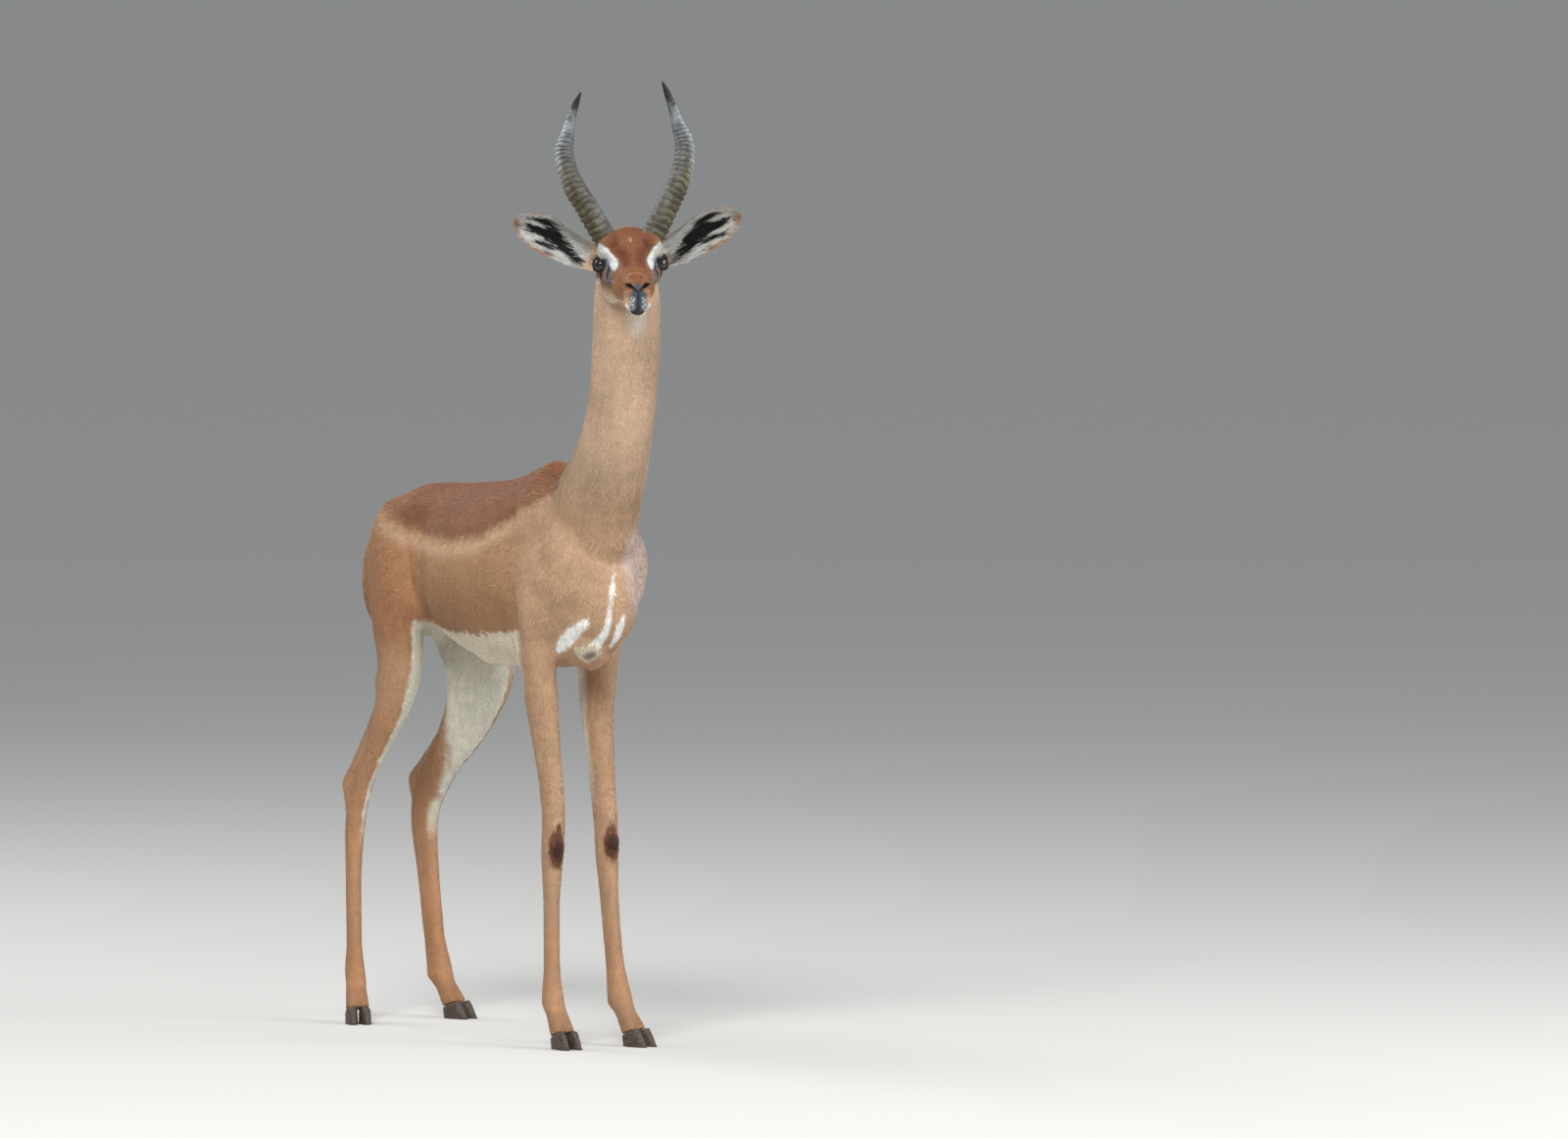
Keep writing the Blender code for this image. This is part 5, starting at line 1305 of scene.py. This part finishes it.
# %% Eyelids
LID_RADIUS = 0.0160


def lid_shell(side, name):
    """The part of a ball round the eye that lies outside an almond-shaped opening."""
    deselect()
    bpy.ops.mesh.primitive_uv_sphere_add(segments=96, ring_count=64, radius=1)
    shell = bpy.context.active_object
    shell.name = name
    axis = unit(EYE_AXIS * [side, 1, 1])
    forward_on_face = unit(np.cross(axis, [0, 0, 1])) * side
    up = unit(np.cross(forward_on_face, axis)) * side
    up = up * np.sign(up[2])
    centres = face_centres(shell)
    ahead, along, high = centres @ axis, centres @ forward_on_face, centres @ up
    half_open = 0.66 * np.clip(1 - (along / 0.93) ** 2, 0, 1) ** 0.8
    edit_faces(shell, (ahead < 0.10) | (np.abs(high + 0.03) < half_open), bpy.ops.mesh.delete, type="FACE")
    place(shell, from_head(coordinates(shell) * LID_RADIUS + EYE_IN_HEAD * [side, 1, 1]))
    apply_modifier(shell, "SOLIDIFY", thickness=0.0005, offset=-1)
    bpy.ops.object.shade_smooth()
    shell.data.uv_layers[0].name = "OFBake"
    return shell


lid_skin, shader = new_material("lid_skin", 0.35, Specular_IOR_Level=0.4)
shader.inputs["Base Color"].default_value = (*BLACK, 1)
for side, name in ((1, "eyelids_right"), (-1, "eyelids_left")):
    lids = lid_shell(side, name)
    lids.data.materials.append(lid_skin)
    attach(lids, "root")
    print(lids.name, len(lids.data.polygons), "faces")

# %% Eyelashes
LASHES = 34
LASH_RING = 0.0168
LASH_LENGTH = 0.0095
for side, name in ((1, "right"), (-1, "left")):
    axis = unit(EYE_AXIS * [side, 1, 1])
    along = unit(np.cross(axis, [0, 0, 1])) * side
    up = unit(np.cross(along, axis)) * side
    turn = np.linspace(math.radians(12), math.radians(150), LASHES)[:, None]
    ring = np.cos(turn) * -along + np.sin(turn) * up
    base = EYE_IN_HEAD * [side, 1, 1] + ring * LASH_RING * 0.80 + axis * LASH_RING * 0.58
    heading = unit(ring * 0.55 + axis * 0.85)
    size = LASH_LENGTH * (0.6 + 0.4 * np.sin(turn)) * random.uniform(0.85, 1.1, (LASHES, 1))
    steps = [base + size * share * heading + rise_by * up for share, rise_by in ((0, 0), (0.4, 0.0001), (0.75, 0.0008), (1, 0.0020))]
    lashes = from_head(np.stack(steps, axis=1).reshape(-1, 3)).reshape(LASHES, 4, 3)
    sideways = unit(np.cross(heading, ring)) @ head_axes
    ribbons(
        "eyelashes_" + name, lashes, sideways, np.tile([0.0005, 0.0004, 0.0003, 0], (LASHES, 1)),
        np.tile(BLACK, (LASHES, 1)), 0.1 + 0.8 * np.column_stack([share_of(turn[:, 0]), share_of(turn[:, 0])]), tuft_hair,
    )

# %% [markdown]
# Each horn starts as a fine cylinder that is laid along a smooth curve through named stations. About
# two dozen ridges ring its lower two thirds, strongest in front and outside, and the tip is smooth.

# %% Horns
HORN_STATIONS = [
    (0.0300, 0.0850, 0.0350, 0.0185), (0.0455, 0.0815, 0.0580, 0.0195), (0.0673, 0.0640, 0.0970, 0.0190),
    (0.0850, 0.0460, 0.1250, 0.0180), (0.0960, 0.0240, 0.1490, 0.0169), (0.1009, 0.0060, 0.1716, 0.0160),
    (0.1003, -0.0060, 0.1890, 0.0146), (0.0943, -0.0180, 0.2060, 0.0118), (0.0890, -0.0270, 0.2250, 0.0089),
    (0.0831, -0.0320, 0.2450, 0.0071), (0.0764, -0.0340, 0.2630, 0.0052), (0.0692, -0.0300, 0.2810, 0.0014),
]
HORN_LENGTH_SHARE = {1: 0.965, -1: 1.02}
HORN_DEPTH_SHARE = 1.14
HORN_RINGS = 22
RING_SPAN = (0.070, 0.72)
HORN_POINTS = 56
HORN_STEPS = 460


def horn_surface(side, share, turn):
    """The horn's points for shares of its length and turns round it, in head space, with its relief."""
    rows = smooth_line(HORN_STATIONS, 2000)
    base = np.array(HORN_STATIONS[1][:3])
    rows[:, :3] = base + (rows[:, :3] - base) * HORN_LENGTH_SHARE[side]
    tangents = unit(np.gradient(rows[:, :3], axis=0))
    number = np.clip((share * 1999).astype(int), 0, 1999)
    centre, tangent, half = rows[number, :3], tangents[number], rows[number, 3]
    ahead = np.array([0, 1, 0.2])
    ahead = unit(ahead - tangent * (tangent @ ahead)[:, None])
    outward = np.cross(ahead, tangent)
    cosine, sine = np.cos(turn), np.sin(turn)
    wander = 0.12 * np.sin(turn * 2 + share * 31 + side) + 0.07 * np.sin(turn * 5 - share * 57)
    ringed = (share - RING_SPAN[0]) / (RING_SPAN[1] - RING_SPAN[0])
    place_in_rings = HORN_RINGS * (1.3 * ringed - 0.3 * ringed ** 2) + wander
    wave = place_in_rings - np.floor(place_in_rings)
    profile = np.minimum(wave / 0.60, (1 - wave) / 0.40)
    profile = np.clip(profile * 1.25, 0, 1) ** 1.3
    fading = ramp(share, RING_SPAN[0] - 0.03, RING_SPAN[0] + 0.02) * (1 - ramp(share, RING_SPAN[1] - 0.11, RING_SPAN[1] + 0.02))
    uneven = 1 + 0.25 * np.sin(np.floor(place_in_rings) * 2.4 + side)
    strength = (0.42 + 0.58 * np.clip(0.75 * sine + 0.65 * cosine, -0.6, 1)) * uneven
    relief = 0.165 * fading * strength * (profile - 0.45)
    grooves = 0.012 * np.sin(turn * 23 + 3 * np.sin(share * 40)) * (1 - 0.6 * fading)
    rough = 0.020 * np.sin(turn * 7 + share * 190) * np.sin(share * 410 + turn * 3) * fading
    scale = half * (1 + relief + grooves + rough)
    point = centre + outward * (cosine * scale)[:, None] + ahead * (sine * scale * HORN_DEPTH_SHARE)[:, None]
    return point * [side, 1, 1], profile, fading * strength, cosine


def horn_material():
    material, shader = new_material("ringed_horn", 0.52, Specular_IOR_Level=0.26)
    painted = add_node(material, "ShaderNodeAttribute", attribute_name="painted_colour")
    grain = noise(material, 420, 6.0)
    colour = multiply(material, painted.outputs["Color"], grain.outputs["Fac"], 0.72, 1.28)
    wire(material, colour, shader.inputs["Base Color"])
    bump_from(material, shader, grain.outputs["Fac"], 0.5, 0.0006)
    return material


horn_keratin = horn_material()
HORN_MOSS = linear(72, 66, 50)
HORN_GREY = linear(90, 96, 100)
HORN_PALE_AND_HIGHLIGHT = linear(190, 194, 196)
HORN_GROOVE_SHADE = linear(34, 31, 27)
GOLDEN_CREST_HIGHLIGHT = linear(112, 102, 68)
HORN_TIP = linear(9, 9, 10)


def horn_colour(share, turn, spots, side):
    crest, ringed, outer = horn_surface(side, share, turn)[1:]
    patchy = mottle(spots, 0.006, 31)
    broad = mottle(spots, 0.020, 32)
    colour = np.tile(HORN_MOSS, (len(spots), 1))
    colour = paint(colour, 0.9 * ramp(share, 0.28, 0.52), HORN_GREY)
    low = 1 - ramp(share, 0.40, 0.62)
    colour = paint(colour, 0.75 * (1 - ramp(outer, -0.35, 0.35)) * (0.7 + 0.3 * broad), linear(98, 98, 98))
    # a golden tint and painted highlight on the ring crests of the lower horn, in patches
    colour = paint(colour, 0.45 * crest * ringed * ramp(patchy + 0.4 * broad, -0.2, 1.0) * low, GOLDEN_CREST_HIGHLIGHT)
    # painted shade in the grooves between the rings
    colour = paint(colour, 0.75 * (1 - ramp(crest, 0.0, 0.45)) * np.clip(1.3 * ringed, 0, 1), HORN_GROOVE_SHADE)
    # painted highlight: bluish white on the outer side of the horn's middle, strongest on the ring crests
    pale = ramp(outer, 0.2, 0.95) * ramp(share, 0.22, 0.42) * (1 - ramp(share, 0.82, 0.93))
    colour = paint(colour, 0.60 * pale * (0.35 + 0.65 * crest), HORN_PALE_AND_HIGHLIGHT)
    colour = paint(colour, 0.12 * ramp(share, 0.62, 0.70) * (1 - ramp(share, 0.78, 0.88)), HORN_PALE_AND_HIGHLIGHT)
    colour = paint(colour, 0.90 * ramp(share + 0.03 * patchy, 0.72, 0.88), HORN_TIP)
    return np.clip(colour * (1 + 0.10 * patchy)[:, None], 0.002, 1)


for side, node in ((1, "horn_right"), (-1, "horn_left")):
    horn = wrapped_grid(
        node + "_ringed", HORN_POINTS, HORN_STEPS,
        lambda share, turn: from_head(horn_surface(side, share, turn)[0]),
    )
    bpy.ops.object.shade_smooth()
    shares, turns = np.meshgrid(np.linspace(0, 1, HORN_STEPS), np.linspace(0, 2 * math.pi, HORN_POINTS))
    shares, turns = shares.ravel(), turns.ravel()
    tree = KDTree(len(shares))
    for number, spot in enumerate(horn_surface(side, shares, turns)[0]):
        tree.insert(spot, number)
    tree.balance()
    spots = to_head(coordinates(horn))
    match = np.array([tree.find(spot)[1] for spot in spots])
    store_colour(horn, horn_colour(shares[match], turns[match], spots, side))
    horn.data.materials.append(horn_keratin)
    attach(horn, "root")
    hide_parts(node)
    print(horn.name, len(horn.data.polygons), "faces")

# %% [markdown]
# A hoof is a cloven pair of narrow claws. A copy of each solid claw is rounded by subdivision, with
# its sole kept flat, and growth lines run round it.

# %% Hooves
def hoof_material():
    material, shader = new_material("hoof_horn", 0.5, Specular_IOR_Level=0.4)
    grain = noise(material, 260, 5.0)
    colours = add_node(material, "ShaderNodeValToRGB")
    wire(material, grain.outputs["Fac"], colours.inputs["Fac"])
    stops = colours.color_ramp.elements
    stops[0].position, stops[0].color = 0.30, (*linear(38, 33, 30), 1)
    stops[1].position, stops[1].color = 0.75, (*linear(98, 84, 70), 1)
    wire(material, colours.outputs["Color"], shader.inputs["Base Color"])
    spot = add_node(material, "ShaderNodeTexCoord")
    lines = add_node(material, "ShaderNodeTexWave", bands_direction="Z", Scale=130.0, Distortion=2.0, Detail=2.0)
    wire(material, spot.outputs["Object"], lines.inputs["Vector"])
    bump_from(material, shader, lines.outputs["Fac"], 0.35, 0.0005)
    return material


claw_horn = hoof_material()
for name in [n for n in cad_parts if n.startswith("hoof")]:
    claw = copy_nodes([name], name + "_shell")
    sharp = coordinates(claw)
    bpy.ops.object.mode_set(mode="EDIT")
    bpy.ops.mesh.select_all(action="SELECT")
    bpy.ops.mesh.subdivide(number_cuts=2)
    bpy.ops.object.mode_set(mode="OBJECT")
    around = coordinates(claw)
    rounded = relax(around, edges_of(claw), 0.5, 6)
    keep_flat = np.maximum(1 - ramp(around[:, 2], 0.001, 0.006), 0.0)[:, None]
    rounded = rounded * (1 - keep_flat) + around * keep_flat
    place(claw, rounded)
    deselect()
    claw.select_set(True)
    bpy.ops.object.shade_smooth_by_angle(angle=math.radians(50))
    claw.data.materials.append(claw_horn)
    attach(claw, "root")
    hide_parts(name)
print("eight claws")

# %% [markdown]
# The studio is a wide pale floor, a sky of even light, one large soft lamp above the camera's left
# and a weaker one opposite. The camera is a long lens 27 m away, as in the photograph.

# %% Floor and light
deselect()
bpy.ops.mesh.primitive_plane_add(size=260, location=(0, 0, -0.0004))
floor = bpy.context.active_object
floor.name = "studio_floor"
floor_paint, shader = new_material("floor_paint", 0.9, Specular_IOR_Level=0.1)
shader.inputs["Base Color"].default_value = (0.62, 0.61, 0.59, 1)
floor.data.materials.append(floor_paint)

world = bpy.data.worlds.new("studio_sky")
bpy.context.scene.world = world
world.use_nodes = True
world.node_tree.nodes["Background"].inputs["Color"].default_value = (0.92, 0.96, 1.0, 1)
world.node_tree.nodes["Background"].inputs["Strength"].default_value = 0.42


def lamp(name, place_at, aim, size, watts):
    bpy.ops.object.light_add(type="AREA", location=place_at)
    light = bpy.context.active_object
    light.name = name
    light.data.size = size
    light.data.energy = watts
    light.rotation_euler = (Vector(aim) - Vector(place_at)).to_track_quat("-Z", "Y").to_euler()


lamp("key_lamp", (-3.2, -3.0, 4.6), (0, 0, 0.8), 2.2, 290)
lamp("fill_lamp", (3.0, -3.8, 2.4), (0, 0, 0.9), 3.0, 165)
lamp("back_lamp", (-1.2, 3.8, 4.2), (0, 0, 0.9), 2.5, 120)

# %% Camera
LOOK = math.radians(33)
DROP = math.radians(3.5)
forward = np.array([math.sin(LOOK) * math.cos(DROP), math.cos(LOOK) * math.cos(DROP), -math.sin(DROP)])
rightward = np.array([math.cos(LOOK), -math.sin(LOOK), 0])
upward = np.cross(rightward, forward)
DISTANCE = 27.0
PIXELS_PER_METRE = 606
aim = (rightward * 188 + upward * 472.5) / PIXELS_PER_METRE + layout_shift
camera_data = bpy.data.cameras.new("long_lens")
camera = bpy.data.objects.new("long_lens", camera_data)
bpy.context.scene.collection.objects.link(camera)
camera.location = aim - forward * DISTANCE
camera.rotation_euler = Vector(forward).to_track_quat("-Z", "Y").to_euler()
camera_data.sensor_width = 36
camera_data.lens = DISTANCE * PIXELS_PER_METRE / 1600 * 36
camera_data.clip_end = 500
bpy.context.scene.camera = camera
bpy.context.scene.view_settings.view_transform = "Standard"
print("camera ready")
